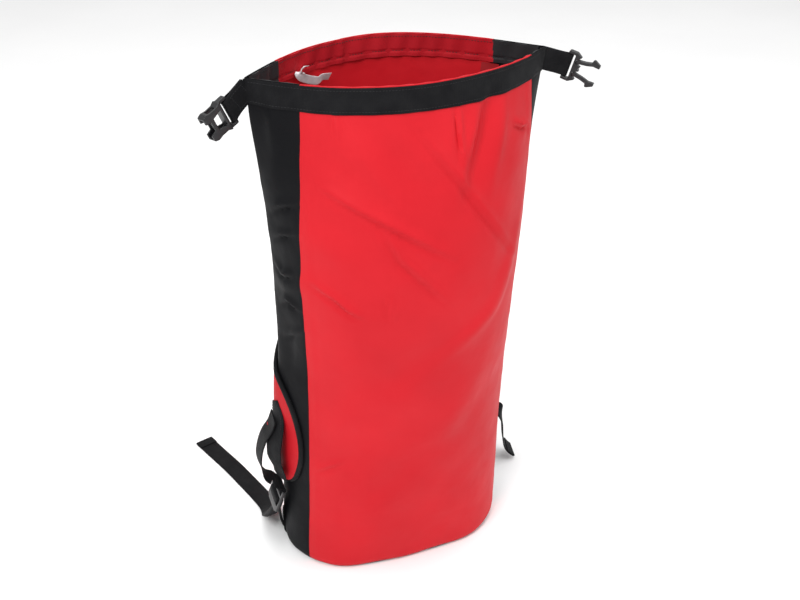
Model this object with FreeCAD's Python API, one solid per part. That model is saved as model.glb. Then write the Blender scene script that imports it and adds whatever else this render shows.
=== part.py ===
"""Roll-top dry bag with shoulder straps, standing open on its base.

Millimetres. The origin is the middle of the base, on the floor. +Z is up, -Y is the front
panel, and -X is the bag's side with the socket half of the buckle.
"""
import FreeCAD, Part

import math
import os

Vec = FreeCAD.Vector

# ---- the fabric tube -------------------------------------------------------------------------
BAG_HEIGHT = 600.0
BAG_GIRTH = 757.0            # the tube is cut from flat cloth, so this holds at every height
LEAN = (12.0, -12.0)         # how far the mouth stands off the base's middle, in X and Y
# Shape at the base, at one and two thirds of the height, and at the mouth. Depths are shares of
# the half-width; the powers set how square (high) or pointed (1) the plan is.
FRONT_DEPTH = (0.62, 0.78, 0.815, 0.41)
BACK_DEPTH = (0.75, 0.735, 0.505, 0.545)
POWER_ACROSS = (3.24, 2.01, 2.5, 2.0)
POWER_THROUGH = (2.04, 1.5, 1.56, 1.0)
FABRIC = 1.2                 # coated cloth, with its seam allowance
BASE_FABRIC = 1.5
LAYER_GAP = 0.15             # between sewn layers

# Seams, measured along the cloth from the nearer fold: (at the base, at the mouth)
LEFT_FRONT_SEAM = (49.0, 58.0)
RIGHT_FRONT_SEAM = (22.0, 37.0)
BACK_SEAM = (56.0, 59.0)
TAPE_WIDTH = 20.0
TAPE = 0.3

# ---- mouth -----------------------------------------------------------------------------------
WEBBING_WIDTH = 25.0
WEBBING = 1.5
BAND_BELOW_RIM = 0.8
HEM_WIDTH = 25.0
HEM = 0.8
STIFFENER = 0.6
STIFFENER_GAP = 0.45         # play of the stiffener in its channel
LABEL_SIZE = (26.0, 30.0)

# ---- side-release buckle for 25 mm webbing ----------------------------------------------------
BAR_R = 2.0
WEBBING_CLEARANCE = 0.3
LOOP_NECK = 7.5              # from a bar's middle to where the two layers of webbing meet
LOOP_START = 5.0              # the doubled webbing starts this far from what it is sewn to
FRAME_HALF = 16.5            # half of the outer width
SLOT_HALF = 13.2
SOCKET_LENGTH = 32.0
SOCKET_THICK = 10.4
SOCKET_MOUTH = (6.4, 23.0)
MALE_BODY_THICK = 7.0
PRONG_LENGTH = 24.0
PRONG_WIDTH = 5.0
PRONG_ROOT_R = 2.6
PRONG_GAP = 0.3
# Middle of each webbing bar, the bar's own direction, and the way the half points at rest
SOCKET_BAR = Vec(-172.5, -18.0, 575.5)
SOCKET_BAR_WAY = Vec(0.407, 0.114, -0.907)
SOCKET_POINTS = Vec(-0.825, -0.380, -0.418)
MALE_BAR = Vec(202.3, -18.0, 579.0)
MALE_BAR_WAY = Vec(-0.235, 0.154, -0.960)
MALE_POINTS = Vec(0.702, -0.655, -0.281)

# ---- shoulder straps ---------------------------------------------------------------------------
PAD_STANDOFF = 0.8
PAD_LINING = 0.6
PAD_FOAM = 3.4
PAD_FACE = 0.6
BINDING_WIDTH = 1.8
BINDING_GAP = 0.5
PATCH = 1.5
# Left pad's middle line from the yoke to the tip: (distance round the back from the left fold,
# height, half-width). A distance below 0 is in front of the fold.
LEFT_PAD_ROUTE = ((134.0, 424.0, 27.0), (127.0, 372.0, 29.0), (111.0, 318.0, 31.0),
                  (84.0, 270.0, 34.0), (45.0, 239.0, 37.0), (13.0, 213.0, 38.5),
                  (-2.0, 180.0, 38.0), (-4.0, 144.0, 36.0), (-3.0, 110.0, 24.0))
# The right pad hangs straighter, behind the bag's right corner.
RIGHT_PAD_ROUTE = ((134.0, 424.0, 27.0), (129.0, 372.0, 29.0), (118.0, 320.0, 31.0),
                   (104.0, 270.0, 34.0), (90.0, 228.0, 36.0), (80.0, 190.0, 36.0),
                   (74.0, 156.0, 34.0), (72.0, 126.0, 24.0))
PAD_STATIONS = 25
# Webbing sewn down the pad's face: how much of the route it covers, and how far it sits to the
# side of the pad's middle
LEFT_SEWN_WEBBING = (0.66, 0.97, 8.0)
RIGHT_SEWN_WEBBING = (0.60, 0.97, 0.0)
YOKE_HALF_WIDTH = 80.0
YOKE_HEIGHTS = (427.5, 450.0)

# ---- ladder locks and their webbing --------------------------------------------------------------
LOCK_LENGTH = 36.0
LOCK_THICK = 3.4
LEFT_LOCK_BAR = Vec(-143.5, -9.0, 97.0)
LEFT_LOCK_WAY = Vec(0.0, 0.966, 0.258)
LEFT_LOCK_POINTS = Vec(-0.25, 0.25, -0.935)
RIGHT_LOCK_BAR = Vec(121.0, 75.0, 112.0)
RIGHT_LOCK_WAY = Vec(0.77, -0.638, 0.0)
RIGHT_LOCK_POINTS = Vec(0.40, 0.483, -0.779)
ANCHOR_HEIGHTS = (2.0, 26.0)
LEFT_ANCHOR_FROM_FOLD = 12.0
RIGHT_ANCHOR_FROM_FOLD = 52.0
# Runs of loose webbing: (middle of the webbing, its width direction)
SLACK_LOOP = (((-145.5, 4.0, 150.0), (0.0, 1.0, 0.0)), ((-152.5, 4.5, 147.0), (0.0, 1.0, 0.1)),
              ((-160.0, 8.0, 136.0), (0.1, 1.0, 0.2)), ((-162.5, 8.0, 123.0), (0.1, 1.0, 0.2)),
              ((-159.5, 0.0, 113.0), (0.1, 1.0, 0.25)), ((-152.0, -9.9, 108.0), (0.0, 0.966, 0.258)))
LEFT_TAIL = (((-149.8, 0.3, 62.2), (0.0, 0.966, 0.258)), ((-152.0, 7.0, 52.0), (0.45, 0.8, 0.3)),
             ((-151.5, 20.0, 39.0), (0.75, 0.45, 0.4)), ((-148.0, 36.0, 24.0), (0.9, 0.25, 0.25)),
             ((-143.0, 51.0, 10.5), (0.97, 0.15, 0.1)), ((-140.5, 70.0, 2.2), (0.98, 0.2, 0.0)),
             ((-146.0, 98.0, 0.9), (0.95, 0.28, 0.0)), ((-155.0, 132.0, 0.85), (0.96, 0.27, 0.0)),
             ((-164.0, 166.0, 0.85), (0.96, 0.29, 0.0)), ((-176.0, 203.0, 0.85), (0.95, 0.31, 0.0)),
             ((-188.5, 242.0, 0.85), (0.95, 0.3, 0.0)))
RIGHT_TAIL = (((134.3, 91.0, 81.6), (0.77, -0.638, 0.0)), ((139.0, 98.5, 67.0), (0.85, -0.45, 0.25)),
              ((148.0, 102.0, 56.0), (0.85, 0.0, 0.5)), ((160.0, 97.0, 53.0), (0.6, 0.5, 0.6)),
              ((171.0, 84.0, 61.0), (0.5, 0.75, 0.4)), ((178.0, 72.0, 74.0), (0.5, 0.8, 0.3)),
              ((184.0, 63.0, 77.5), (0.6, 0.8, 0.1)), ((187.0, 60.0, 64.0), (0.36, 0.93, 0.0)),
              ((188.0, 60.0, 44.0), (0.36, 0.93, 0.0)), ((190.0, 60.0, 26.0), (0.36, 0.93, 0.0)),
              ((196.0, 60.0, 13.0), (0.36, 0.93, 0.0)), ((204.0, 60.0, 6.0), (0.36, 0.93, 0.0)))


# ---- the bag's surface ---------------------------------------------------------------------------
def blend_levels(values, share):
    """A smooth curve through values at equal steps of height; share is 0 at the base, 1 at the mouth."""
    last = len(values) - 1
    place = min(max(share, 0.0), 1.0) * last
    low = min(int(place), last - 1)
    u = place - low

    def slope(i):
        below = values[max(i - 1, 0)]
        above = values[min(i + 1, last)]
        return (above - below) / (min(i + 1, last) - max(i - 1, 0))

    start = (2 * u ** 3 - 3 * u ** 2 + 1) * values[low] + (u ** 3 - 2 * u ** 2 + u) * slope(low)
    end = (3 * u ** 2 - 2 * u ** 3) * values[low + 1] + (u ** 3 - u ** 2) * slope(low + 1)
    return start + end


SECTION_STEPS = 160
FRONT = -1
BACK = 1
sections = {}


def section(height):
    """Half-width, depths and powers of the plan at a height, with the girth made equal."""
    key = round(height, 4)
    if key in sections:
        return sections[key]
    share = height / BAG_HEIGHT
    plan = {"depth": {FRONT: blend_levels(FRONT_DEPTH, share), BACK: blend_levels(BACK_DEPTH, share)},
            "across": blend_levels(POWER_ACROSS, share),
            "through": blend_levels(POWER_THROUGH, share),
            "half": 1.0, "middle": (0.0, 0.0)}
    girth = sum(walked(plan, side)[-1] for side in (FRONT, BACK))
    plan["half"] = BAG_GIRTH / girth
    for side in (FRONT, BACK):
        plan["depth"][side] *= plan["half"]
    plan["middle"] = (LEAN[0] * share, LEAN[1] * share)
    plan["walked"] = {side: walked(plan, side) for side in (FRONT, BACK)}
    sections[key] = plan
    return plan


def plan_point(plan, side, turn, out=0.0):
    """A point of the plan: turn runs from 0 at the left fold to pi at the right one."""
    half = plan["half"] + out
    along = -math.cos(turn)
    through = max(1.0 - abs(along) ** plan["across"], 0.0) ** (1.0 / plan["through"])
    deep = (plan["depth"][side] + out) * through
    return (plan["middle"][0] + half * along, plan["middle"][1] + side * deep)


def walked(plan, side):
    """Distance along the cloth from the left fold, at each step of the turn."""
    total = [0.0]
    last = plan_point(plan, side, 0.0)
    for step in range(1, SECTION_STEPS + 1):
        here = plan_point(plan, side, math.pi * step / SECTION_STEPS)
        total.append(total[-1] + math.hypot(here[0] - last[0], here[1] - last[1]))
        last = here
    return total


def turn_at(plan, side, distance):
    """The turn at a distance from the left fold; a negative distance counts from the right fold."""
    total = plan["walked"][side]
    if distance < 0:
        distance += total[-1]
    distance = min(max(distance, 0.0), total[-1])
    for step in range(SECTION_STEPS):
        if distance <= total[step + 1]:
            part = (distance - total[step]) / (total[step + 1] - total[step])
            return math.pi * (step + part) / SECTION_STEPS
    return math.pi


def on_cloth(side, distance, height, out=0.0):
    """A point on the bag, or out from it (in from it if out is negative)."""
    plan = section(height)
    x, y = plan_point(plan, side, turn_at(plan, side, distance), out)
    return Vec(x, y, height)


def girth_half(side, height):
    return section(height)["walked"][side][-1]


SEWING_REACH = 0.05          # border curves of neighbouring surfaces differ by less than this


# ---- solids from grids of points -----------------------------------------------------------------
def surface_through(grid):
    surface = Part.BSplineSurface()
    surface.interpolate(grid)
    return surface


def rim_edges(surface):
    """The four border edges: first row, last row, first column, last column."""
    u0, u1, v0, v1 = surface.bounds()
    return [surface.uIso(u0).toShape(), surface.uIso(u1).toShape(),
            surface.vIso(v0).toShape(), surface.vIso(v1).toShape()]


def slab(outer, inner):
    """A closed sheet between two layers of points."""
    outside = surface_through(outer)
    inside = surface_through(inner)
    faces = [outside.toShape(), inside.toShape()]
    faces += [Part.makeRuledSurface(a, b) for a, b in zip(rim_edges(outside), rim_edges(inside))]
    joined = Part.makeCompound(faces)
    joined.sewShape(SEWING_REACH)
    solid = Part.makeSolid(Part.makeShell(joined.Faces))
    if solid.Volume < 0:
        solid.reverse()
    return solid


def spread(start, end, count):
    return [start + (end - start) * i / (count - 1) for i in range(count)]


PANEL_LEVELS = 13


def cloth_grid(side, edges, heights, out, columns):
    """Points on the cloth between two edge lines; each edge gives a distance at a height."""
    rows = []
    for column in range(columns):
        share = column / (columns - 1)
        row = []
        for height in heights:
            start = edges[0](height)
            end = edges[1](height)
            row.append(on_cloth(side, start + (end - start) * share, height, out))
        rows.append(row)
    return rows


def cloth_sheet(pieces, bottom, top, out, thick, columns=9, levels=PANEL_LEVELS):
    """A sheet on the cloth. pieces: (side, first edge, last edge), one each side of a crease."""
    heights = spread(bottom, top, levels)
    sheets = []
    for side, first, last in pieces:
        outer = cloth_grid(side, (first, last), heights, out, columns)
        inner = cloth_grid(side, (first, last), heights, out - thick, columns)
        sheets.append(slab(outer, inner))
    if len(sheets) == 1:
        return sheets[0]
    return sheets[0].fuse(sheets[1:], SEWING_REACH)


def from_left(seam):
    return lambda height: seam[0] + (seam[1] - seam[0]) * height / BAG_HEIGHT


def from_right(seam, side):
    """A seam near the right fold; its last bit of sway comes near the mouth."""
    def distance(height):
        return girth_half(side, height) - seam[0] - (seam[1] - seam[0]) * (height / BAG_HEIGHT) ** 4
    return distance


def left_fold(height):
    return 0.0


def right_fold(side):
    return lambda height: girth_half(side, height)


def shifted(edge, distance):
    return lambda height: edge(height) + distance


EDGE = {
    "left_front": from_left(LEFT_FRONT_SEAM),
    "right_front": from_right(RIGHT_FRONT_SEAM, FRONT),
    "left_back": from_left(BACK_SEAM),
    "right_back": from_right(BACK_SEAM, BACK),
}


# ---- local frames ----------------------------------------------------------------------------------
def placed(shape, origin, points, bar_way):
    """Put a local shape in place: its +X goes along points and its +Z along bar_way."""
    z = Vec(bar_way).normalize()
    x = Vec(points) - z * z.dot(points)
    x.normalize()
    y = z.cross(x)
    matrix = FreeCAD.Matrix(x.x, y.x, z.x, origin.x, x.y, y.y, z.y, origin.y,
                            x.z, y.z, z.z, origin.z, 0, 0, 0, 1)
    moved = shape.copy()
    moved.Placement = FreeCAD.Placement(matrix)
    return moved


def box(x0, x1, y0, y1, z0, z1):
    return Part.makeBox(x1 - x0, y1 - y0, z1 - z0, Vec(x0, y0, z0))


def rounded(shape, radius, chosen):
    """Fillet the edges that chosen picks."""
    edges = [edge for edge in shape.Edges if chosen(edge)]
    return shape.makeFillet(radius, edges)


def along(axis):
    """Picks straight edges that run along an axis."""
    def chosen(edge):
        if not isinstance(edge.Curve, Part.Line) and not isinstance(edge.Curve, Part.LineSegment):
            return False
        way = edge.Vertexes[-1].Point - edge.Vertexes[0].Point
        return abs(abs(way.normalize().dot(axis)) - 1.0) < 1e-6
    return chosen


def extruded(points, low, high):
    """A flat outline in X and Z, as thick as low to high in Y."""
    wire = Part.makePolygon([Vec(x, low, z) for x, z in points + points[:1]])
    return Part.Face(wire).extrude(Vec(0, high - low, 0))


def bar(half_length):
    return Part.makeCylinder(BAR_R, 2 * half_length, Vec(0, 0, -half_length), Vec(0, 0, 1))


# ---- panels ------------------------------------------------------------------------------------------
def fabric_panels():
    low, top = BASE_FABRIC, BAG_HEIGHT
    front = [(FRONT, EDGE["left_front"], EDGE["right_front"])]
    back = [(BACK, EDGE["left_back"], EDGE["right_back"])]
    left = [(FRONT, EDGE["left_front"], left_fold), (BACK, left_fold, EDGE["left_back"])]
    right = [(FRONT, EDGE["right_front"], right_fold(FRONT)),
             (BACK, right_fold(BACK), EDGE["right_back"])]
    outline = [on_cloth(FRONT, d, 0.0) for d in spread(0.0, girth_half(FRONT, 0.0), 33)]
    outline += [on_cloth(BACK, d, 0.0) for d in spread(girth_half(BACK, 0.0), 0.0, 33)][1:-1]
    edge = Part.BSplineCurve()
    edge.interpolate(outline, PeriodicFlag=True)
    base = Part.Face(Part.Wire(edge.toShape())).extrude(Vec(0, 0, BASE_FABRIC - 0.05))
    return {
        "front_panel": cloth_sheet(front, low, top, 0.0, FABRIC, 17),
        "back_panel": cloth_sheet(back, low, top, 0.0, FABRIC, 17),
        "left_side_panel": cloth_sheet(left, low, top, 0.0, FABRIC, 9),
        "right_side_panel": cloth_sheet(right, low, top, 0.0, FABRIC, 9),
        "base_panel": base,
    }


def seam_tapes():
    """Welded tape over the inside of each upright seam, up to the hem."""
    half = TAPE_WIDTH / 2
    out = -FABRIC - LAYER_GAP
    top = BAG_HEIGHT - HEM_WIDTH - 2.0
    tapes = {}
    for name, edge in EDGE.items():
        side = FRONT if name.endswith("front") else BACK
        strip = [(side, shifted(edge, -half), shifted(edge, half))]
        tapes[name + "_seam_tape"] = cloth_sheet(strip, BASE_FABRIC + 1.0, top, out, TAPE, 3)
    return tapes


def mouth_pieces():
    rim = BAG_HEIGHT
    inset = -FABRIC - STIFFENER_GAP
    facing_out = inset - STIFFENER - LAYER_GAP
    pieces = {}
    for name, side in (("front_hem_facing", FRONT), ("back_hem_facing", BACK)):
        whole = [(side, shifted(left_fold, 5.0), shifted(right_fold(side), -5.0))]
        pieces[name] = cloth_sheet(whole, rim - HEM_WIDTH, rim - 0.5, facing_out, HEM, 21, 3)
    strip = [(FRONT, shifted(left_fold, 16.0), shifted(right_fold(FRONT), -16.0))]
    pieces["mouth_stiffener"] = cloth_sheet(strip, rim - HEM_WIDTH + 2.0, rim - 2.0, inset,
                                            STIFFENER, 21, 3)
    band = [(FRONT, left_fold, right_fold(FRONT))]
    top = rim - BAND_BELOW_RIM
    pieces["mouth_band"] = cloth_sheet(band, top - WEBBING_WIDTH, top, LAYER_GAP + WEBBING,
                                       WEBBING, 21, 3)
    width, drop = LABEL_SIZE
    label = [(BACK, lambda height: 84.0, lambda height: 84.0 + width)]
    pieces["inner_label"] = cloth_sheet(label, rim - HEM_WIDTH + 6.0 - drop, rim - HEM_WIDTH + 6.0,
                                        facing_out - HEM - LAYER_GAP, 0.4, 3, 3)
    return pieces


# ---- buckle --------------------------------------------------------------------------------------------
def socket_half():
    """The socket: a bar, a frame and a flat tunnel, with windows where the prongs snap out."""
    half_thick = SOCKET_THICK / 2
    left_side = [(-BAR_R, -FRAME_HALF), (9.0, -FRAME_HALF), (13.5, -14.2), (21.5, -14.2),
                 (27.0, -15.4), (SOCKET_LENGTH, -13.6)]
    outline = left_side + [(x, -z) for x, z in left_side[::-1]]
    body = extruded(outline, -half_thick, half_thick)
    body = rounded(body, 1.6, along(Vec(0, 1, 0)))
    slope = box(-BAR_R - 1, 8.0, 3.2, half_thick + 1, -20, 20)
    body = body.cut(slope).cut(slope.mirror(Vec(0, 0, 0), Vec(0, 1, 0)))
    webbing_slot = box(-BAR_R - 1, 6.6, -8, 8, -SLOT_HALF, SLOT_HALF)
    mouth_thick, mouth_width = SOCKET_MOUTH
    cavity = box(11.5, SOCKET_LENGTH + 1, -mouth_thick / 2, mouth_thick / 2,
                 -mouth_width / 2, mouth_width / 2)
    side_window = box(14.0, 24.0, -3.2, 3.2, -20, 20)
    face_window = extruded([(11.0, -9.0), (21.5, -6.5), (21.5, 6.5), (11.0, 9.0)], -8, 8)
    notch = extruded([(26.0, -5.0), (SOCKET_LENGTH + 1, -7.0), (SOCKET_LENGTH + 1, 7.0),
                      (26.0, 5.0)], -8, 8)
    body = body.cut(webbing_slot).cut(cavity).cut(side_window).cut(face_window).cut(notch)
    return body.fuse(bar(SLOT_HALF + 1.0)).removeSplitter()


PRONG_ROOT = (11.0, 7.0)     # where each prong bends: along the buckle, and out from its middle


def male_half():
    """The male body: a bar, a slot and a shoulder that carries the prongs' roots."""
    half_thick = MALE_BODY_THICK / 2
    outline = [(-BAR_R, -FRAME_HALF), (7.0, -FRAME_HALF), (15.0, -11.6), (15.0, -2.6),
               (13.0, 0.0), (15.0, 2.6), (15.0, 11.6), (7.0, FRAME_HALF), (-BAR_R, FRAME_HALF)]
    body = extruded(outline, -half_thick, half_thick)
    body = rounded(body, 1.2, along(Vec(0, 1, 0)))
    slot = box(-BAR_R - 1, 6.2, -8, 8, -SLOT_HALF, SLOT_HALF)
    body = body.cut(slot)
    for way in (-1, 1):
        centre = Vec(PRONG_ROOT[0], -8, way * PRONG_ROOT[1])
        pocket = Part.makeCylinder(PRONG_ROOT_R + PRONG_GAP, 16, centre, Vec(0, 1, 0))
        throat = extruded([(PRONG_ROOT[0], way * (PRONG_ROOT[1] - 3.6)), (16.0, way * 2.2),
                           (16.0, way * 15.0), (PRONG_ROOT[0], way * (PRONG_ROOT[1] + 3.6))], -8, 8)
        body = body.cut(pocket).cut(throat)
    return body.fuse(bar(SLOT_HALF + 1.0)).removeSplitter()


def prong(way):
    """One springy prong with its barb; way is -1 for the upper one and 1 for the lower one."""
    root_x, root_z = PRONG_ROOT
    half_thick = 2.6
    outline = [(root_x, root_z - 2.0), (root_x + 10.0, root_z - 0.4), (root_x + 17.0, root_z + 1.6),
               (root_x + PRONG_LENGTH, root_z + 1.2), (root_x + PRONG_LENGTH, root_z + 5.0),
               (root_x + 17.0, root_z + 8.6), (root_x + 15.2, root_z + 8.4),
               (root_x + 14.6, root_z + 5.0), (root_x + 8.0, root_z + 3.2), (root_x, root_z + 2.2)]
    arm = extruded([(x, way * z) for x, z in outline], -half_thick, half_thick)
    arm = rounded(arm, 0.7, along(Vec(0, 1, 0)))
    root = Part.makeCylinder(PRONG_ROOT_R, 2 * half_thick, Vec(root_x, -half_thick, way * root_z),
                             Vec(0, 1, 0))
    return arm.fuse(root).removeSplitter()


def strip_between(start, end, start_way, end_way, thick=WEBBING):
    """A run of webbing that twists from one width direction to another."""
    run = end - start
    if Vec(start_way).dot(end_way) < 0:
        end_way = Vec(end_way) * -1
    outlines = [rectangle(start, run, start_way, WEBBING_WIDTH, thick),
                rectangle(end, run, end_way, WEBBING_WIDTH, thick)]
    return Part.makeLoft(outlines, True, True)


def webbing_loop(bar_middle, bar_way, corner, corner_way):
    """Webbing from a corner, round a bar and back, sewn on itself."""
    inner = BAR_R + WEBBING_CLEARANCE
    outer = inner + WEBBING
    half = WEBBING_WIDTH / 2
    ring = Part.makeCylinder(outer, 2 * half, Vec(0, 0, -half), Vec(0, 0, 1))
    waist = [(-1.0, outer), (-1.0, inner), (WEBBING - LOOP_NECK, 0.0), (-1.0, -inner),
             (-1.0, -outer), (-LOOP_NECK, -WEBBING), (-LOOP_NECK, WEBBING)]
    wire = Part.makePolygon([Vec(x, y, -half) for x, y in waist + waist[:1]])
    cheeks = Part.Face(wire).extrude(Vec(0, 0, 2 * half))
    hollow = Part.makeCylinder(inner, 2 * half + 2, Vec(0, 0, -half - 1), Vec(0, 0, 1))
    loop = placed(ring.fuse(cheeks).cut(hollow), bar_middle, bar_middle - corner, bar_way)
    away = (corner - bar_middle).normalize()
    doubled = strip_between(bar_middle + away * (LOOP_NECK - 0.5), corner - away * LOOP_START,
                            bar_way, corner_way, 2 * WEBBING)
    return loop.fuse(doubled).removeSplitter()


def buckle_pieces():
    rim_middle = BAG_HEIGHT - BAND_BELOW_RIM - WEBBING_WIDTH / 2
    folds = []
    for distance in (0.0, girth_half(FRONT, rim_middle)):
        corner = on_cloth(FRONT, distance, rim_middle, WEBBING)
        lower = on_cloth(FRONT, distance, rim_middle - WEBBING_WIDTH / 2, WEBBING)
        folds.append((corner, lower - corner))
    socket = (SOCKET_BAR, SOCKET_POINTS, SOCKET_BAR_WAY)
    male = (MALE_BAR, MALE_POINTS, MALE_BAR_WAY)
    return {
        "left_buckle_webbing": webbing_loop(SOCKET_BAR, SOCKET_BAR_WAY, *folds[0]),
        "right_buckle_webbing": webbing_loop(MALE_BAR, MALE_BAR_WAY, *folds[1]),
        "female_buckle": placed(socket_half(), *socket),
        "male_buckle": placed(male_half(), *male),
        "upper_prong": placed(prong(-1), *male),
        "lower_prong": placed(prong(1), *male),
    }


# ---- shoulder straps ---------------------------------------------------------------------------------------
def pad_point(mirror, distance, height, out):
    """A point beside the bag's side and back; the distance is from the fold on the pad's side."""
    side = BACK if distance >= 0 else FRONT
    reach = abs(distance)
    if mirror:
        reach = girth_half(side, height) - reach
    return on_cloth(side, reach, height, out)


def smoothed(route, count):
    """More stations along a route, on a smooth curve through its own."""
    columns = list(zip(*route))
    return [tuple(blend_levels(column, share) for column in columns)
            for share in spread(0.0, 1.0, count)]


def pad_grid(route, mirror, low, high, out, across=7):
    """Points of a pad layer between two lines beside its middle, each in mm at a half-width."""
    rows = []
    for column in range(across):
        row = []
        for place, (distance, height, half) in enumerate(route):
            before = route[max(place - 1, 0)]
            after = route[min(place + 1, len(route) - 1)]
            run = math.hypot(after[0] - before[0], after[1] - before[1])
            cross = ((before[1] - after[1]) / run, (after[0] - before[0]) / run)
            start = low(half)
            width = start + (high(half) - start) * column / (across - 1)
            row.append(pad_point(mirror, distance - cross[0] * width, height - cross[1] * width, out))
        rows.append(row)
    return rows


def pad_layer(route, mirror, low, high, out, thick, across=7):
    outer = pad_grid(route, mirror, low, high, out, across)
    inner = pad_grid(route, mirror, low, high, out - thick, across)
    return slab(outer, inner)


FACE_OUT = PAD_STANDOFF + PAD_LINING + PAD_FOAM + PAD_FACE + 2 * LAYER_GAP


def strap_pad(side_name, route, mirror, sewn):
    """Face, foam and lining, binding on both long edges, and webbing sewn down the face."""
    route = smoothed(route, PAD_STATIONS)
    lining_out = PAD_STANDOFF + PAD_LINING
    foam_out = lining_out + LAYER_GAP + PAD_FOAM
    rim = BINDING_GAP + BINDING_WIDTH

    def layer(out, thick):
        return pad_layer(route, mirror, lambda half: -half, lambda half: half, out, thick)

    def edge(low, high):
        return pad_layer(route, mirror, low, high, FACE_OUT, FACE_OUT - PAD_STANDOFF, 3)

    binding = [edge(lambda half: -half - rim, lambda half: -half - BINDING_GAP),
               edge(lambda half: half + BINDING_GAP, lambda half: half + rim)]
    start, end, aside = sewn
    covered = route[round(start * PAD_STATIONS):round(end * PAD_STATIONS)]
    webbing = pad_layer(covered, mirror, lambda half: aside - WEBBING_WIDTH / 2,
                        lambda half: aside + WEBBING_WIDTH / 2,
                        FACE_OUT + 2 * LAYER_GAP + WEBBING, WEBBING)
    return {
        side_name + "_strap_lining": layer(lining_out, PAD_LINING),
        side_name + "_strap_foam": layer(foam_out, PAD_FOAM),
        side_name + "_strap_face": layer(FACE_OUT, PAD_FACE),
        side_name + "_strap_binding": Part.makeCompound(binding),
        side_name + "_strap_webbing": webbing,
    }


def strap_yoke():
    """The sewn patch on the back that both pads hang from, above their top edges."""
    def beside_middle(distance):
        return lambda height: girth_half(BACK, height) / 2 + distance

    patch = [(BACK, beside_middle(-YOKE_HALF_WIDTH), beside_middle(YOKE_HALF_WIDTH))]
    return cloth_sheet(patch, YOKE_HEIGHTS[0], YOKE_HEIGHTS[1], LAYER_GAP + PATCH, PATCH, 11, 3)


# ---- ladder locks, lower webbing and tails -------------------------------------------------------------------
def ladder_lock():
    """A flat frame with a round top bar, a middle bar and a lipped lower bar."""
    half_thick = LOCK_THICK / 2
    low, high = -BAR_R, LOCK_LENGTH - BAR_R
    plate = box(low, high, -half_thick, half_thick, -FRAME_HALF, FRAME_HALF)
    plate = rounded(plate, 3.0, along(Vec(0, 1, 0)))
    top_slot = box(-BAR_R - 2, 7.0, -8, 8, -SLOT_HALF, SLOT_HALF)
    middle_slot = box(11.0, 16.5, -8, 8, -SLOT_HALF, SLOT_HALF)
    lower_slot = box(20.5, 26.0, -8, 8, -SLOT_HALF, SLOT_HALF)
    plate = plate.cut(top_slot).cut(middle_slot).cut(lower_slot)
    lip = extruded([(high - 4.0, -FRAME_HALF + 3), (high + 2.5, -FRAME_HALF + 5),
                    (high + 2.5, FRAME_HALF - 5), (high - 4.0, FRAME_HALF - 3)], -0.9, 1.5)
    return plate.fuse(bar(SLOT_HALF + 1.0)).fuse(lip).removeSplitter()


def rectangle(point, run, way, width, thick):
    """A closed outline across a run of webbing."""
    run = Vec(run).normalize()
    across = Vec(way) - run * run.dot(way)
    across = across.normalize() * (width / 2)
    normal = run.cross(across).normalize() * (thick / 2)
    corners = [point + across + normal, point + across - normal,
               point - across - normal, point - across + normal]
    return Part.makePolygon(corners + corners[:1])


STATIONS_PER_RUN = 4


def flat_run(stations, width=WEBBING_WIDTH, thick=WEBBING):
    """A flat strip through (middle, width direction) stations, smooth between them."""
    rows = smoothed([point + way for point, way in stations], STATIONS_PER_RUN * len(stations))
    points = [Vec(*row[:3]) for row in rows]
    last = len(points) - 1
    outlines = []
    for place, point in enumerate(points):
        run = points[min(place + 1, last)] - points[max(place - 1, 0)]
        outlines.append(rectangle(point, run, Vec(*rows[place][3:]), width, thick))
    return Part.makeLoft(outlines, True, True)


def ribbon(points):
    """Webbing that follows straight runs in X and Y, with rounded turns, as wide as it is in Z."""
    half = WEBBING_WIDTH / 2
    shape = None
    for (x0, y0), (x1, y1) in zip(points, points[1:]):
        run = Vec(x1 - x0, y1 - y0, 0)
        side = Vec(-run.y, run.x, 0).normalize() * (WEBBING / 2)
        start, end = Vec(x0, y0, -half), Vec(x1, y1, -half)
        wire = Part.makePolygon([start + side, end + side, end - side, start - side, start + side])
        piece = Part.Face(wire).extrude(Vec(0, 0, 2 * half))
        turn = Part.makeCylinder(WEBBING / 2, 2 * half, end, Vec(0, 0, 1))
        piece = piece if (x1, y1) == points[-1] else piece.fuse(turn)
        shape = piece if shape is None else shape.fuse(piece)
    return shape.removeSplitter()


# The webbing's way through a ladder lock, in the lock's X and Y: from the tail's end it goes
# in behind the lower bar, over the middle bar, and down behind itself to the anchor
LOCK_THREADING = [(36.0, -2.9), (23.2, -2.9), (23.2, 2.9), (14.0, 2.9), (14.0, -5.2), (33.0, -5.2)]


def lower_webbing(bar_middle, points, way, anchor, anchor_way):
    threaded = placed(ribbon(LOCK_THREADING), bar_middle, points, way)
    z = Vec(way).normalize()
    x = (Vec(points) - z * z.dot(points)).normalize()
    entry = bar_middle + x * LOCK_THREADING[-1][0] + z.cross(x) * LOCK_THREADING[-1][1]
    strand = strip_between(entry, anchor, way, anchor_way)
    return threaded.fuse(strand).removeSplitter()


def lower_anchor(mirror, from_fold):
    """A tab of webbing sewn up the bag's side from the base seam."""
    edges = (from_fold, from_fold + WEBBING_WIDTH)
    if mirror:
        edges = tuple(girth_half(BACK, ANCHOR_HEIGHTS[0]) - edge for edge in edges)
    tab = [(BACK, lambda height: edges[0], lambda height: edges[1])]
    return cloth_sheet(tab, *ANCHOR_HEIGHTS, LAYER_GAP + WEBBING, WEBBING, 3, 3)


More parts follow.
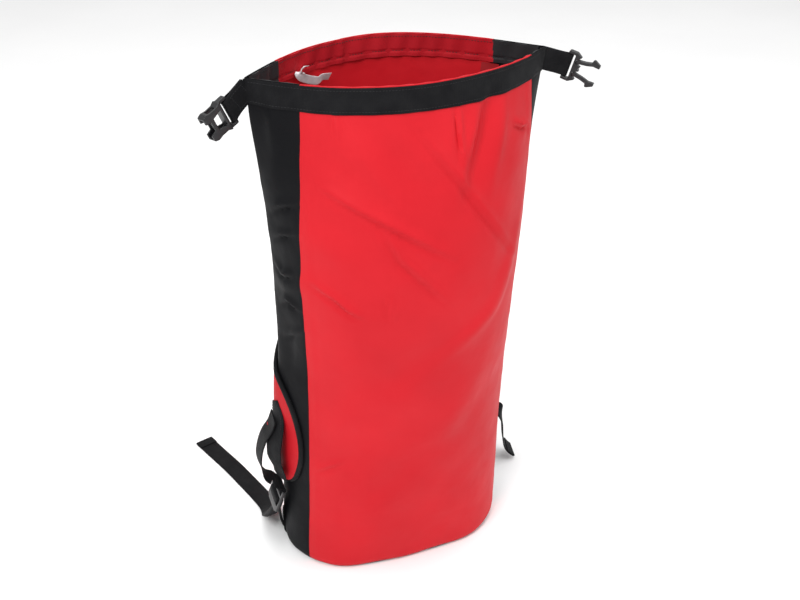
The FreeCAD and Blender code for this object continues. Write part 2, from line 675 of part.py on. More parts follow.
def anchor_joint(mirror, from_fold):
    """Where a lower webbing meets its anchor tab: its end's middle and its width direction."""
    height = ANCHOR_HEIGHTS[1] - 8.0
    out = LAYER_GAP + WEBBING * 1.5 + 0.5
    edges = [pad_point(mirror, from_fold + reach, height, out) for reach in (0.0, WEBBING_WIDTH)]
    middle = pad_point(mirror, from_fold + WEBBING_WIDTH / 2, height, out)
    return middle, edges[1] - edges[0]


def lower_hardware():
    left = (LEFT_LOCK_BAR, LEFT_LOCK_POINTS, LEFT_LOCK_WAY)
    right = (RIGHT_LOCK_BAR, RIGHT_LOCK_POINTS, RIGHT_LOCK_WAY)
    left_anchor = anchor_joint(False, LEFT_ANCHOR_FROM_FOLD)
    right_anchor = anchor_joint(True, RIGHT_ANCHOR_FROM_FOLD)
    right_pad_end = pad_point(True, RIGHT_PAD_ROUTE[-1][0], RIGHT_PAD_ROUTE[-1][1] + 8.0,
                              FACE_OUT + 2 * WEBBING)
    left_end = Vec(*SLACK_LOOP[-1][0])
    left_loop = webbing_loop(LEFT_LOCK_BAR, LEFT_LOCK_WAY, left_end, LEFT_LOCK_WAY)
    return {
        "left_ladder_lock": placed(ladder_lock(), *left),
        "right_ladder_lock": placed(ladder_lock(), *right),
        "left_lock_loop": Part.makeCompound([flat_run(SLACK_LOOP), left_loop]),
        "right_lock_loop": webbing_loop(RIGHT_LOCK_BAR, RIGHT_LOCK_WAY, right_pad_end,
                                        RIGHT_LOCK_WAY),
        "left_lower_webbing": lower_webbing(*left, *left_anchor),
        "right_lower_webbing": lower_webbing(*right, *right_anchor),
        "left_lower_anchor": lower_anchor(False, LEFT_ANCHOR_FROM_FOLD),
        "right_lower_anchor": lower_anchor(True, RIGHT_ANCHOR_FROM_FOLD),
        "left_webbing_tail": flat_run(LEFT_TAIL),
        "right_webbing_tail": flat_run(RIGHT_TAIL),
    }


def save(pieces):
    os.makedirs("parts", exist_ok=True)
    for name, shape in pieces.items():
        shape.exportStep("parts/" + name + ".step")
        box_ = shape.BoundBox
        print(f"{name:26s} valid={shape.isValid()} solids={len(shape.Solids)} "
              f"vol={shape.Volume:10.1f} "
              f"x {box_.XMin:7.1f} {box_.XMax:7.1f} y {box_.YMin:7.1f} {box_.YMax:7.1f} "
              f"z {box_.ZMin:6.1f} {box_.ZMax:6.1f}")


def main():
    pieces = {}
    pieces.update(fabric_panels())
    pieces.update(seam_tapes())
    pieces.update(mouth_pieces())
    pieces.update(buckle_pieces())
    pieces["strap_yoke_patch"] = strap_yoke()
    pieces.update(strap_pad("left", LEFT_PAD_ROUTE, False, LEFT_SEWN_WEBBING))
    pieces.update(strap_pad("right", RIGHT_PAD_ROUTE, True, RIGHT_SEWN_WEBBING))
    pieces.update(lower_hardware())
    save(pieces)


main()
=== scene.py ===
import math

import bpy
import numpy as np
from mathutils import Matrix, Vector, noise


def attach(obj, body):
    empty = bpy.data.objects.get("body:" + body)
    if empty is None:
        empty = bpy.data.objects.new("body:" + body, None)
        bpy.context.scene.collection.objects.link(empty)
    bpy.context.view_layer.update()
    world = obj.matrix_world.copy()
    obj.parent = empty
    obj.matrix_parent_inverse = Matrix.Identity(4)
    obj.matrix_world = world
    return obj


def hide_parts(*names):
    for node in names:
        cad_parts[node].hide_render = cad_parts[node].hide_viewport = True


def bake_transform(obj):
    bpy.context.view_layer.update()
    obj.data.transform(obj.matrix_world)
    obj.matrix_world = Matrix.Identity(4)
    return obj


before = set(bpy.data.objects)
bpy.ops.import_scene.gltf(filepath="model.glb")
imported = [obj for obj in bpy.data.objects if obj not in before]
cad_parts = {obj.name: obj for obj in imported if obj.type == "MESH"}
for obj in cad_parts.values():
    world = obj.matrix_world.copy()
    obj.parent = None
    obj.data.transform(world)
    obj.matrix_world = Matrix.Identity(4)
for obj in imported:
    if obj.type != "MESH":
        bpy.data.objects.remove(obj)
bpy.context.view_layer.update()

# ---- the bag's driving sizes, in metres ------------------------------------------------------
BAG_HEIGHT = 0.600
BAG_GIRTH = 0.757
LEAN = (0.012, -0.012)
FRONT_DEPTH = (0.62, 0.78, 0.815, 0.41)
BACK_DEPTH = (0.75, 0.735, 0.505, 0.545)
POWER_ACROSS = (3.24, 2.01, 2.5, 2.0)
POWER_THROUGH = (2.04, 1.5, 1.56, 1.0)
FABRIC = 0.0012
FLOOR_CLOTH = 0.0015
LEFT_FRONT_SEAM = (0.049, 0.058)
RIGHT_FRONT_SEAM = (0.022, 0.037)
BACK_SEAM = (0.056, 0.059)
BAND_TOP = 0.5992
BAND_WIDTH = 0.025
HEM_WIDTH = 0.025
WEBBING_WIDTH = 0.025
WEBBING = 0.0015
BAR_R = 0.002
YOKE_HALF_WIDTH = 0.080
YOKE_HEIGHTS = (0.4275, 0.450)
PAD_STANDOFF = 0.0008
PAD_FACE_OUT = 0.0057
# The pads' middle lines: (distance round the back from the nearer fold, height, half-width)
LEFT_PAD_ROUTE = ((0.134, 0.424, 0.027), (0.127, 0.372, 0.029), (0.111, 0.318, 0.031),
                  (0.084, 0.270, 0.034), (0.045, 0.239, 0.037), (0.013, 0.213, 0.0385),
                  (-0.002, 0.180, 0.038), (-0.004, 0.144, 0.036), (-0.003, 0.110, 0.024))
RIGHT_PAD_ROUTE = ((0.134, 0.424, 0.027), (0.129, 0.372, 0.029), (0.118, 0.320, 0.031),
                   (0.104, 0.270, 0.034), (0.090, 0.228, 0.036), (0.080, 0.190, 0.036),
                   (0.074, 0.156, 0.034), (0.072, 0.126, 0.024))
LEFT_SEWN_WEBBING = (0.64, 0.97, 0.010)
RIGHT_SEWN_WEBBING = (0.60, 0.97, 0.0)
ANCHOR_HEIGHTS = (0.002, 0.026)
LEFT_ANCHOR_FROM_FOLD = 0.012
RIGHT_ANCHOR_FROM_FOLD = 0.052
# Buckle and lock bars: (middle of the bar, the bar's direction, the way the piece points)
SOCKET = ((-0.1725, -0.018, 0.5755), (0.407, 0.114, -0.907), (-0.825, -0.380, -0.418))
MALE = ((0.2023, -0.018, 0.579), (-0.235, 0.154, -0.960), (0.702, -0.655, -0.281))
LEFT_LOCK = ((-0.1435, -0.009, 0.097), (0.0, 0.966, 0.258), (-0.25, 0.25, -0.935))
RIGHT_LOCK = ((0.121, 0.075, 0.112), (0.77, -0.638, 0.0), (0.40, 0.483, -0.779))
# Loose webbing: (middle, width direction)
LEFT_TAIL = (((-0.1498, 0.0003, 0.0622), (0.0, 0.966, 0.258)), ((-0.152, 0.007, 0.052), (0.45, 0.8, 0.3)),
             ((-0.1515, 0.02, 0.039), (0.75, 0.45, 0.4)), ((-0.148, 0.036, 0.024), (0.9, 0.25, 0.25)),
             ((-0.143, 0.051, 0.0105), (0.97, 0.15, 0.1)), ((-0.1405, 0.07, 0.0022), (0.98, 0.2, 0.0)),
             ((-0.146, 0.098, 0.0009), (0.95, 0.28, 0.0)), ((-0.155, 0.132, 0.00085), (0.96, 0.27, 0.0)),
             ((-0.164, 0.166, 0.00085), (0.96, 0.29, 0.0)), ((-0.176, 0.203, 0.00085), (0.95, 0.31, 0.0)),
             ((-0.1885, 0.242, 0.00085), (0.95, 0.3, 0.0)))
RIGHT_TAIL = (((0.1343, 0.091, 0.0816), (0.77, -0.638, 0.0)), ((0.139, 0.0985, 0.067), (0.85, -0.45, 0.25)),
              ((0.148, 0.102, 0.056), (0.85, 0.0, 0.5)), ((0.16, 0.097, 0.053), (0.6, 0.5, 0.6)),
              ((0.171, 0.084, 0.061), (0.5, 0.75, 0.4)), ((0.178, 0.072, 0.074), (0.5, 0.8, 0.3)),
              ((0.184, 0.063, 0.0775), (0.6, 0.8, 0.1)), ((0.187, 0.06, 0.064), (0.36, 0.93, 0.0)),
              ((0.188, 0.06, 0.044), (0.36, 0.93, 0.0)), ((0.19, 0.06, 0.026), (0.36, 0.93, 0.0)),
              ((0.196, 0.06, 0.013), (0.36, 0.93, 0.0)), ((0.204, 0.06, 0.006), (0.36, 0.93, 0.0)))


# ---- small helpers -----------------------------------------------------------------------------
def unit(v):
    v = np.asarray(v, float)
    return v / np.maximum(np.linalg.norm(v, axis=-1, keepdims=True), 1e-12)


def local_axes(piece):
    """Origin and X, Y, Z axes of a buckle half or a lock: X along it, Z along its bar."""
    origin, bar_way, points = (np.array(v, float) for v in piece)
    z = unit(bar_way)
    x = unit(points - z * (z @ points))
    return origin, x, np.cross(z, x), z


def in_piece(piece, x, y, z=0.0):
    origin, ax, ay, az = local_axes(piece)
    return origin + ax * x + ay * y + az * z


def levels(values, share):
    """A smooth curve through values at equal steps; share runs from 0 to 1."""
    last = len(values) - 1
    place = min(max(share, 0.0), 1.0) * last
    low = min(int(place), last - 1)
    u = place - low

    def slope(i):
        return (values[min(i + 1, last)] - values[max(i - 1, 0)]) / (min(i + 1, last) - max(i - 1, 0))

    start = (2 * u ** 3 - 3 * u ** 2 + 1) * values[low] + (u ** 3 - 2 * u ** 2 + u) * slope(low)
    end = (3 * u ** 2 - 2 * u ** 3) * values[low + 1] + (u ** 3 - u ** 2) * slope(low + 1)
    return start + end


def smoothed(rows, count):
    """More stations along a list of equal tuples, on a smooth curve through them."""
    columns = list(zip(*rows))
    return np.array([[levels(c, share) for c in columns] for share in np.linspace(0, 1, count)])


# ---- the bag's surface -------------------------------------------------------------------------
TURNS = np.linspace(0.0, math.pi, 161)
FRONT = -1
BACK = 1
sections = {}


def section(height):
    """Plan of the bag at a height: half-width, depths, powers, and distances along the cloth."""
    key = round(height, 6)
    if key in sections:
        return sections[key]
    share = height / BAG_HEIGHT
    across = levels(POWER_ACROSS, share)
    through = levels(POWER_THROUGH, share)
    along = -np.cos(TURNS)
    deep = np.maximum(1 - np.abs(along) ** across, 0) ** (1 / through)
    depth = {FRONT: levels(FRONT_DEPTH, share), BACK: levels(BACK_DEPTH, share)}
    walked = {}
    for side in depth:
        steps = np.hypot(np.diff(along), np.diff(depth[side] * deep))
        walked[side] = np.concatenate([[0.0], np.cumsum(steps)])
    half = BAG_GIRTH / (walked[FRONT][-1] + walked[BACK][-1])
    sections[key] = {"across": across, "through": through, "half": half,
                     "middle": (LEAN[0] * share, LEAN[1] * share),
                     "depth": {side: depth[side] * half for side in depth},
                     "walked": {side: walked[side] * half for side in walked}}
    return sections[key]


def front_arc(height):
    return section(height)["walked"][FRONT][-1]


def mouth_rise(reach, front, height):
    """The rim stands higher towards the left fold and round the back."""
    share = np.clip((height - 0.45) / 0.15, 0, 1)
    share = share * share * (3 - 2 * share)
    over_front = 0.004 * np.cos(0.5 * np.pi * np.clip(reach / 0.11, 0, 1)) ** 2
    to_middle = 0.004 + 0.0025 * np.clip(reach / 0.19, 0, 1)
    to_right = 0.0065 * np.cos(0.5 * np.pi * np.clip((reach - 0.19) / 0.19, 0, 1)) ** 2
    over_back = np.where(reach < 0.19, to_middle, to_right)
    return share * np.where(front, over_front, over_back)


def plain_point(girth, height, out=0.0):
    """Points on the cloth at one height. The girth counts from the left fold, over the front;
    below 0 and past the right fold it is on the back."""
    plan = section(height)
    girth = np.asarray(girth, float)
    front = (girth >= 0) & (girth <= plan["walked"][FRONT][-1])
    reach = np.where(front, girth, np.where(girth < 0, -girth, BAG_GIRTH - girth))
    turn = np.where(front, np.interp(reach, plan["walked"][FRONT], TURNS),
                    np.interp(reach, plan["walked"][BACK], TURNS))
    along = -np.cos(turn)
    deep = np.maximum(1 - np.abs(along) ** plan["across"], 0) ** (1 / plan["through"])
    depth = np.where(front, plan["depth"][FRONT], plan["depth"][BACK])
    side = np.where(front, FRONT, BACK)
    x = plan["middle"][0] + (plan["half"] + out) * along
    y = plan["middle"][1] + side * (depth + out) * deep
    return np.stack([x, y, height + mouth_rise(reach, front, height)], -1)


# Creases pressed into the cloth: (points as girth and height, half-width, height of the ridge).
# A ridge has a sharp valley along its right-hand side, going from its first point to its last.
CREASES = (
    (((0.176, 0.556), (0.206, 0.522), (0.228, 0.498), (0.259, 0.462), (0.285, 0.434), (0.318, 0.400)),
     0.0050, 0.0012),
    (((0.078, 0.502), (0.115, 0.484), (0.151, 0.466), (0.183, 0.448), (0.222, 0.424)), 0.0044, 0.0011),
    (((0.144, 0.466), (0.165, 0.430), (0.185, 0.410), (0.218, 0.374)), 0.0044, 0.0010),
    (((0.070, 0.396), (0.096, 0.384), (0.109, 0.374), (0.124, 0.366)), 0.0042, 0.0012),
    (((0.217, 0.574), (0.221, 0.546), (0.225, 0.520)), 0.0030, 0.0012),
    (((0.300, 0.541), (0.318, 0.533), (0.340, 0.529)), 0.0035, 0.0018),
    (((0.090, 0.578), (0.094, 0.552)), 0.0040, 0.0008),
    (((0.151, 0.392), (0.156, 0.360)), 0.0040, 0.0006),
    (((0.060, 0.142), (0.075, 0.152), (0.094, 0.164)), 0.0036, 0.0007),
    (((0.012, 0.462), (0.030, 0.474), (0.050, 0.480)), 0.0045, 0.0016),
    (((0.006, 0.428), (0.026, 0.440), (0.046, 0.446)), 0.0042, 0.0014),
    (((0.004, 0.400), (0.024, 0.392), (0.044, 0.398)), 0.0042, 0.0013),
    (((0.010, 0.350), (0.028, 0.362), (0.048, 0.356)), 0.0046, 0.0012),
    (((0.014, 0.310), (0.030, 0.318), (0.050, 0.330)), 0.0046, 0.0010),
    (((-0.170, 0.540), (-0.215, 0.500), (-0.260, 0.470)), 0.0060, 0.0014),
    (((-0.100, 0.520), (-0.140, 0.490), (-0.190, 0.478)), 0.0055, 0.0012),
    (((-0.075, 0.330), (-0.120, 0.285), (-0.180, 0.262), (-0.230, 0.268)), 0.0070, 0.0018),
    (((-0.110, 0.180), (-0.160, 0.150), (-0.220, 0.158)), 0.0070, 0.0014),
    (((-0.250, 0.360), (-0.285, 0.300), (-0.300, 0.240)), 0.0060, 0.0014),
)
# Soft swells and hollows: (girth, height, reach along, reach across, slant in degrees, depth)
SWELLS = (
    (0.112, 0.512, 0.050, 0.014, -38, -0.0016), (0.158, 0.526, 0.045, 0.016, -50, -0.0018),
    (0.252, 0.540, 0.045, 0.011, 75, -0.0026), (0.236, 0.540, 0.045, 0.009, 75, 0.0014),
    (0.275, 0.535, 0.040, 0.010, 80, 0.0014), (0.160, 0.290, 0.050, 0.022, 38, -0.0016),
    (0.255, 0.335, 0.050, 0.010, 35, 0.0012), (0.300, 0.385, 0.060, 0.012, 55, 0.0014),
    (0.160, 0.150, 0.060, 0.020, 42, -0.0014), (0.100, 0.230, 0.040, 0.018, 60, 0.0010),
    (0.220, 0.220, 0.070, 0.022, 50, 0.0014), (0.090, 0.440, 0.050, 0.020, -30, 0.0010),
    (0.030, 0.560, 0.030, 0.012, 85, 0.0020), (0.022, 0.500, 0.030, 0.014, 70, 0.0018),
    (0.035, 0.385, 0.030, 0.012, 20, 0.0014), (0.020, 0.290, 0.040, 0.014, 75, -0.0014),
    (-0.150, 0.400, 0.060, 0.025, 30, 0.0020), (-0.230, 0.200, 0.070, 0.028, -35, -0.0022),
    (-0.200, 0.080, 0.060, 0.024, 10, 0.0016), (-0.120, 0.120, 0.050, 0.022, 50, -0.0018),
)
BOTTOM_ROUND = 0.011                     # radius of the turn where the wall meets the base
SEAM_STEP = 0.0006                       # the seam allowance stands this proud
SEAM_ALLOWANCE = 0.013


FRONT_EMPHASIS = 1.7                     # the front is more rumpled than the rest, by this share


def front_share(girth):
    """0 on the back, 1 over the front panel."""
    return np.clip(girth / 0.03, 0, 1) ** 2


def crease_relief(girth, height):
    total = np.zeros_like(girth)
    for points, width, depth in CREASES:
        best = np.full_like(girth, 1.0)
        signed = np.full_like(girth, 1.0)
        place = np.zeros_like(girth)
        for number, (a, b) in enumerate(zip(points, points[1:])):
            run = np.array(b) - np.array(a)
            length = float(np.hypot(*run))
            ahead = ((girth - a[0]) * run[0] + (height - a[1]) * run[1]) / length ** 2
            ahead = np.clip(ahead, 0, 1)
            away_g = girth - a[0] - ahead * run[0]
            away_h = height - a[1] - ahead * run[1]
            gap = np.hypot(away_g, away_h)
            side = np.sign(run[0] * away_h - run[1] * away_g)
            near = gap < best
            best = np.where(near, gap, best)
            signed = np.where(near, gap * np.where(side == 0, 1, side), signed)
            place = np.where(near, (number + ahead) / (len(points) - 1), place)
        taper = np.sin(np.pi * np.clip(place, 0.02, 0.98)) ** 0.6
        ridge = np.exp(-((signed - 0.4 * width) / width) ** 2)
        valley = np.exp(-((signed + 0.75 * width) / (0.62 * width)) ** 2)
        wash = np.exp(-((signed + 3.0 * width) / (2.6 * width)) ** 2)
        total += taper * depth * (ridge - 0.95 * valley + 0.30 * wash)
    return total


def swell_relief(girth, height):
    total = np.zeros_like(girth)
    for g, h, along, across, slant, depth in SWELLS:
        c, s = math.cos(math.radians(slant)), math.sin(math.radians(slant))
        u = ((girth - g) * c + (height - h) * s) / along
        v = (-(girth - g) * s + (height - h) * c) / across
        total += depth * np.exp(-(u ** 2 + v ** 2))
    return total


def noise_field(girth, height, scale, seed):
    """Smooth noise over the cloth, from about -1 to 1."""
    flat_g, flat_h = girth.ravel(), height.ravel()
    values = [noise.noise(Vector((g / scale, h / scale, seed))) for g, h in zip(flat_g, flat_h)]
    return np.array(values).reshape(girth.shape)


def seam_girths(height):
    """The four seams at a height, as girths: left front, right front, right back, left back."""
    share = height / BAG_HEIGHT
    arc = front_arc(height)
    left_front = LEFT_FRONT_SEAM[0] + (LEFT_FRONT_SEAM[1] - LEFT_FRONT_SEAM[0]) * share
    right_front = arc - RIGHT_FRONT_SEAM[0] - (RIGHT_FRONT_SEAM[1] - RIGHT_FRONT_SEAM[0]) * share ** 4
    right_back = arc + BACK_SEAM[0] + (BACK_SEAM[1] - BACK_SEAM[0]) * share ** 4
    left_back = BAG_GIRTH - BACK_SEAM[0] - (BACK_SEAM[1] - BACK_SEAM[0]) * share
    return left_front, right_front, right_back, left_back


def on_back_left(girth):
    """The same girth, counted below 0 where it is on the left half of the back."""
    return np.where(girth > 0.6, girth - BAG_GIRTH, girth)


def relief(girth, height):
    """How far the cloth stands out of its plain surface."""
    place = on_back_left(girth)
    mouth_calm = np.clip((BAG_HEIGHT - height) / 0.035, 0.12, 1.0)
    base_calm = np.clip(height / 0.05, 0.0, 1.0)
    wander = 0.0016 * noise_field(place, height, 0.085, 3.0)
    wander += 0.0006 * noise_field(place, height, 0.030, 9.0)
    wander += 0.00018 * noise_field(place, height, 0.009, 14.0)
    more = 1 + FRONT_EMPHASIS * front_share(place)
    shape = (more * (crease_relief(place, height) + swell_relief(place, height)) + wander) * mouth_calm
    rim_wave = 0.0008 * np.sin(place * 46.0) * (1 - mouth_calm)
    drop = np.clip(BOTTOM_ROUND - height, 0, BOTTOM_ROUND)
    tuck = BOTTOM_ROUND - np.sqrt(np.maximum(BOTTOM_ROUND ** 2 - drop ** 2, 0))
    kinks = 0.0012 * np.sin(place * 75.0 + 1.0) * np.exp(-height / 0.02)
    return shape * base_calm + rim_wave - 0.62 * tuck + kinks


def cloth_grid(girths, heights, out=0.0, proud=None):
    """Points on the wrinkled cloth. girths(height) gives a row; proud adds more by row."""
    rows = np.array([girths(h) for h in heights])
    high = np.repeat(np.asarray(heights)[:, None], rows.shape[1], 1)
    lift = relief(rows, high) + out
    if proud is not None:
        lift = lift + proud(rows, high)
    points = np.array([plain_point(rows[i], h, lift[i]) for i, h in enumerate(heights)])
    return points, np.stack([rows, high], -1)


# ---- meshes --------------------------------------------------------------------------------------
def new_object(name, verts, faces, uvs=None, material=None, sharp=55):
    mesh = bpy.data.meshes.new(name)
    mesh.from_pydata([tuple(v) for v in verts], [], faces)
    if uvs is not None:
        layer = mesh.uv_layers.new(name="cloth")
        corners = np.empty(len(mesh.loops), np.int64)
        mesh.loops.foreach_get("vertex_index", corners)
        layer.data.foreach_set("uv", np.asarray(uvs, np.float32)[corners].ravel())
    mesh.validate()
    mesh.update()
    obj = bpy.data.objects.new(name, mesh)
    bpy.context.scene.collection.objects.link(obj)
    for polygon in mesh.polygons:
        polygon.use_smooth = True
    mesh.set_sharp_from_angle(angle=math.radians(sharp))
    if material is not None:
        mesh.materials.append(material)
    return obj


def grid_faces(rows, columns, offset=0, flip=False, closed=False):
    faces = []
    for r in range(rows - 1):
        for c in range(columns if closed else columns - 1):
            d = (c + 1) % columns
            face = (offset + r * columns + c, offset + r * columns + d,
                    offset + (r + 1) * columns + d, offset + (r + 1) * columns + c)
            faces.append(face[::-1] if flip else face)
    return faces


def sheet_object(name, outer, inner, uv, material, flip=False):
    """A closed sheet between two grids of points, with a flat rim joining them."""
    rows, columns = outer.shape[:2]
    verts = np.concatenate([outer.reshape(-1, 3), inner.reshape(-1, 3)])
    flat_uv = uv.reshape(-1, 2)
    uvs = np.concatenate([flat_uv, flat_uv])
    size = rows * columns
    faces = grid_faces(rows, columns, 0, flip) + grid_faces(rows, columns, size, not flip)
    rim = [(0, c) for c in range(columns)] + [(r, columns - 1) for r in range(1, rows)]
    rim += [(rows - 1, c) for c in range(columns - 2, -1, -1)] + [(r, 0) for r in range(rows - 2, 0, -1)]
    index = [r * columns + c for r, c in rim]
    for a, b in zip(index, index[1:] + index[:1]):
        face = (b, a, a + size, b + size)
        faces.append(face[::-1] if flip else face)
    return new_object(name, verts, faces, uvs, material)


def frames_along(points, ways):
    """Run, width and normal directions along a strip."""
    run = unit(np.gradient(points, axis=0))
    across = ways - run * (run * ways).sum(-1, keepdims=True)
    across = unit(across)
    return run, across, unit(np.cross(run, across))


def ribbon_mesh(points, ways, width, thick, offset=0):
    """Vertices, faces and UVs of a flat strip with rounded selvedges, closed at both ends."""
    half, ht = width / 2, thick / 2
    top = np.linspace(-half + ht, half - ht, 7)
    profile = [(x, ht) for x in top] + [
        (half - 0.3 * ht, 0.7 * ht), (half, 0.0), (half - 0.3 * ht, -0.7 * ht)]
    profile += [(x, -ht) for x in top[::-1]] + [(-half + 0.3 * ht, -0.7 * ht), (-half, 0.0),
                                                (-half + 0.3 * ht, 0.7 * ht)]
    profile = np.array(profile)
    _, across, normal = frames_along(points, ways)
    verts = points[:, None] + across[:, None] * profile[None, :, :1] + normal[:, None] * profile[None, :, 1:]
    count = len(profile)
    walked = np.concatenate([[0.0], np.cumsum(np.linalg.norm(np.diff(points, axis=0), axis=1))])
    uv = np.stack([np.repeat(profile[None, :, 0], len(points), 0), np.repeat(walked[:, None], count, 1)], -1)
    faces = grid_faces(len(points), count, offset, False, True)
    faces.append(tuple(offset + i for i in range(count))[::-1])
    last = offset + (len(points) - 1) * count
    faces.append(tuple(last + i for i in range(count)))
    return verts.reshape(-1, 3), faces, uv.reshape(-1, 2)


def ribbon(name, strips, material, width=WEBBING_WIDTH, thick=WEBBING):
    """One object from several strips, each (points, width directions)."""
    verts, faces, uvs, offset = [], [], [], 0
    for points, ways in strips:
        points = np.asarray(points, float)
        ways = np.asarray(ways, float)
        v, f, t = ribbon_mesh(points, ways, width, thick, offset)
        verts.append(v)
        faces += f
        uvs.append(t)
        offset += len(v)
    return new_object(name, np.concatenate(verts), faces, np.concatenate(uvs), material)


def stitches(name, lines, material, pitch=0.0032, length=0.0023, radius=0.00028):
    """Thread along lines of (points, normals): one short rounded bar for each stitch."""
    verts, faces = [], []
    ring = [(math.cos(a), math.sin(a)) for a in np.linspace(0, 2 * math.pi, 7)[:-1]]
    for points, normals in lines:
        points, normals = np.asarray(points, float), unit(normals)
        walked = np.concatenate([[0.0], np.cumsum(np.linalg.norm(np.diff(points, axis=0), axis=1))])
        for start in np.arange(pitch / 2, walked[-1] - length, pitch):
            ends = []
            for place in (start, start + length):
                ends.append(np.array([np.interp(place, walked, points[:, i]) for i in range(3)]))
            normal = unit([np.interp(start, walked, normals[:, i]) for i in range(3)])
            way = unit(ends[1] - ends[0])
            side = unit(np.cross(way, normal))
            base = len(verts)
            for share, size, lift in ((0, 0.35, -0.2), (0.2, 1.0, 0.6), (0.8, 1.0, 0.6), (1, 0.35, -0.2)):
                middle = ends[0] + (ends[1] - ends[0]) * share + normal * radius * lift
                for c, s in ring:
                    verts.append(middle + (side * c + normal * s) * radius * size)
            faces += grid_faces(4, 6, base, True, True)
            faces.append(tuple(base + i for i in range(6)))
            faces.append(tuple(base + 18 + i for i in range(6))[::-1])
    return new_object(name, verts, faces, None, material)


def moulded_copy(name, node, material, voxel=0.00045, rounds=6, target=14000):
    """A finer copy of a CAD piece, with every edge softly rounded, as moulded plastic is."""
    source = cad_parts[node]
    obj = bpy.data.objects.new(name, source.data.copy())
    bpy.context.scene.collection.objects.link(obj)
    obj.data.materials.clear()
    obj.data.materials.append(material)
    remesh = obj.modifiers.new("remesh", "REMESH")
    remesh.mode = "VOXEL"
    remesh.voxel_size = voxel
    remesh.use_smooth_shade = True
    smooth = obj.modifiers.new("smooth", "SMOOTH")
    smooth.factor = 0.5
    smooth.iterations = rounds
    depsgraph = bpy.context.evaluated_depsgraph_get()
    mesh = bpy.data.meshes.new_from_object(obj.evaluated_get(depsgraph))
    obj.modifiers.clear()
    obj.data = mesh
    if len(mesh.polygons) > target:
        thin = obj.modifiers.new("thin", "DECIMATE")
        thin.ratio = target / (2 * len(mesh.polygons))
        depsgraph = bpy.context.evaluated_depsgraph_get()
        mesh = bpy.data.meshes.new_from_object(obj.evaluated_get(depsgraph))
        obj.modifiers.clear()
        obj.data = mesh
    for polygon in mesh.polygons:
        polygon.use_smooth = True
    if not mesh.materials:
        mesh.materials.append(material)
    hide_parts(node)
    return obj


# ---- materials -------------------------------------------------------------------------------------
def graph(name):
    material = bpy.data.materials.new(name)
    material.use_nodes = True
    tree = material.node_tree
    shader = tree.nodes["Principled BSDF"]
    return material, tree, shader


def node(tree, kind, **values):
    made = tree.nodes.new(kind)
    for key, value in values.items():
        if key.startswith("in_"):
            made.inputs[key[3:].replace("_", " ")].default_value = value
        else:
            setattr(made, key, value)
    return made


def object_place(tree):
    return node(tree, "ShaderNodeTexCoord").outputs["Object"]


def cloth_place(tree):
    return node(tree, "ShaderNodeUVMap", uv_map="cloth").outputs["UV"]


def colour_noise(tree, place, low, high, scale, detail=4.0):
    """A mottled colour between two close ones."""
    cloud = node(tree, "ShaderNodeTexNoise", in_Scale=scale, in_Detail=detail)
    ramp = node(tree, "ShaderNodeValToRGB")
    ramp.color_ramp.elements[0].position = 0.32
    ramp.color_ramp.elements[1].position = 0.68
    ramp.color_ramp.elements[0].color = (*low, 1)
    ramp.color_ramp.elements[1].color = (*high, 1)
    tree.links.new(place, cloud.inputs["Vector"])
    tree.links.new(cloud.outputs["Fac"], ramp.inputs["Fac"])
    return ramp.outputs["Color"]


def varied(tree, place, low, high, scale):
    """A number between two others, clouded over the surface."""
    cloud = node(tree, "ShaderNodeTexNoise", in_Scale=scale, in_Detail=3.0)
    spread = node(tree, "ShaderNodeMapRange")
    spread.inputs["From Min"].default_value = 0.3
    spread.inputs["From Max"].default_value = 0.7
    spread.inputs["To Min"].default_value = low
    spread.inputs["To Max"].default_value = high
    tree.links.new(place, cloud.inputs["Vector"])
    tree.links.new(cloud.outputs["Fac"], spread.inputs["Value"])
    return spread.outputs["Result"]


def crossing_waves(tree, place, across, along):
    """Height of a plain weave: two sets of ridges, at so many waves a metre each way."""
    heights = []
    for direction, scale in (("X", across), ("Y", along)):
        wave = node(tree, "ShaderNodeTexWave", wave_type="BANDS", bands_direction=direction,
                    in_Scale=scale / 20 * 2 * math.pi)
        wave.inputs["Distortion"].default_value = 0.0
        tree.links.new(place, wave.inputs["Vector"])
        heights.append(wave.outputs["Fac"])
    both = node(tree, "ShaderNodeMath", operation="MULTIPLY")
    tree.links.new(heights[0], both.inputs[0])
    tree.links.new(heights[1], both.inputs[1])
    return both.outputs["Value"]


def bump(tree, shader, heights):
    """Stack bumps: (height socket, strength, distance in metres)."""
    before = None
    for height, strength, distance in heights:
        made = node(tree, "ShaderNodeBump", in_Strength=strength, in_Distance=distance)
        tree.links.new(height, made.inputs["Height"])
        if before is not None:
            tree.links.new(before, made.inputs["Normal"])
        before = made.outputs["Normal"]
    tree.links.new(before, shader.inputs["Normal"])


def coated_cloth(name, low, high, rough=(0.42, 0.55), specular=0.42, sheen=0.05):
    """Polyester cloth under a satin coating: a fine weave, handling marks and faint mottling."""
    material, tree, shader = graph(name)
    place, weave_place = object_place(tree), cloth_place(tree)
    tree.links.new(colour_noise(tree, place, low, high, 9.0), shader.inputs["Base Color"])
    tree.links.new(varied(tree, place, rough[0], rough[1], 24.0), shader.inputs["Roughness"])
    shader.inputs["Specular IOR Level"].default_value = specular
    shader.inputs["Sheen Weight"].default_value = sheen
    shader.inputs["Sheen Roughness"].default_value = 0.5
    rumple = node(tree, "ShaderNodeTexNoise", in_Scale=70.0, in_Detail=5.0, in_Roughness=0.55)
    tree.links.new(place, rumple.inputs["Vector"])
    weave = crossing_waves(tree, weave_place, 1100.0, 1100.0)
    bump(tree, shader, ((rumple.outputs["Fac"], 0.16, 0.0016), (weave, 0.10, 0.00015)))
    return material


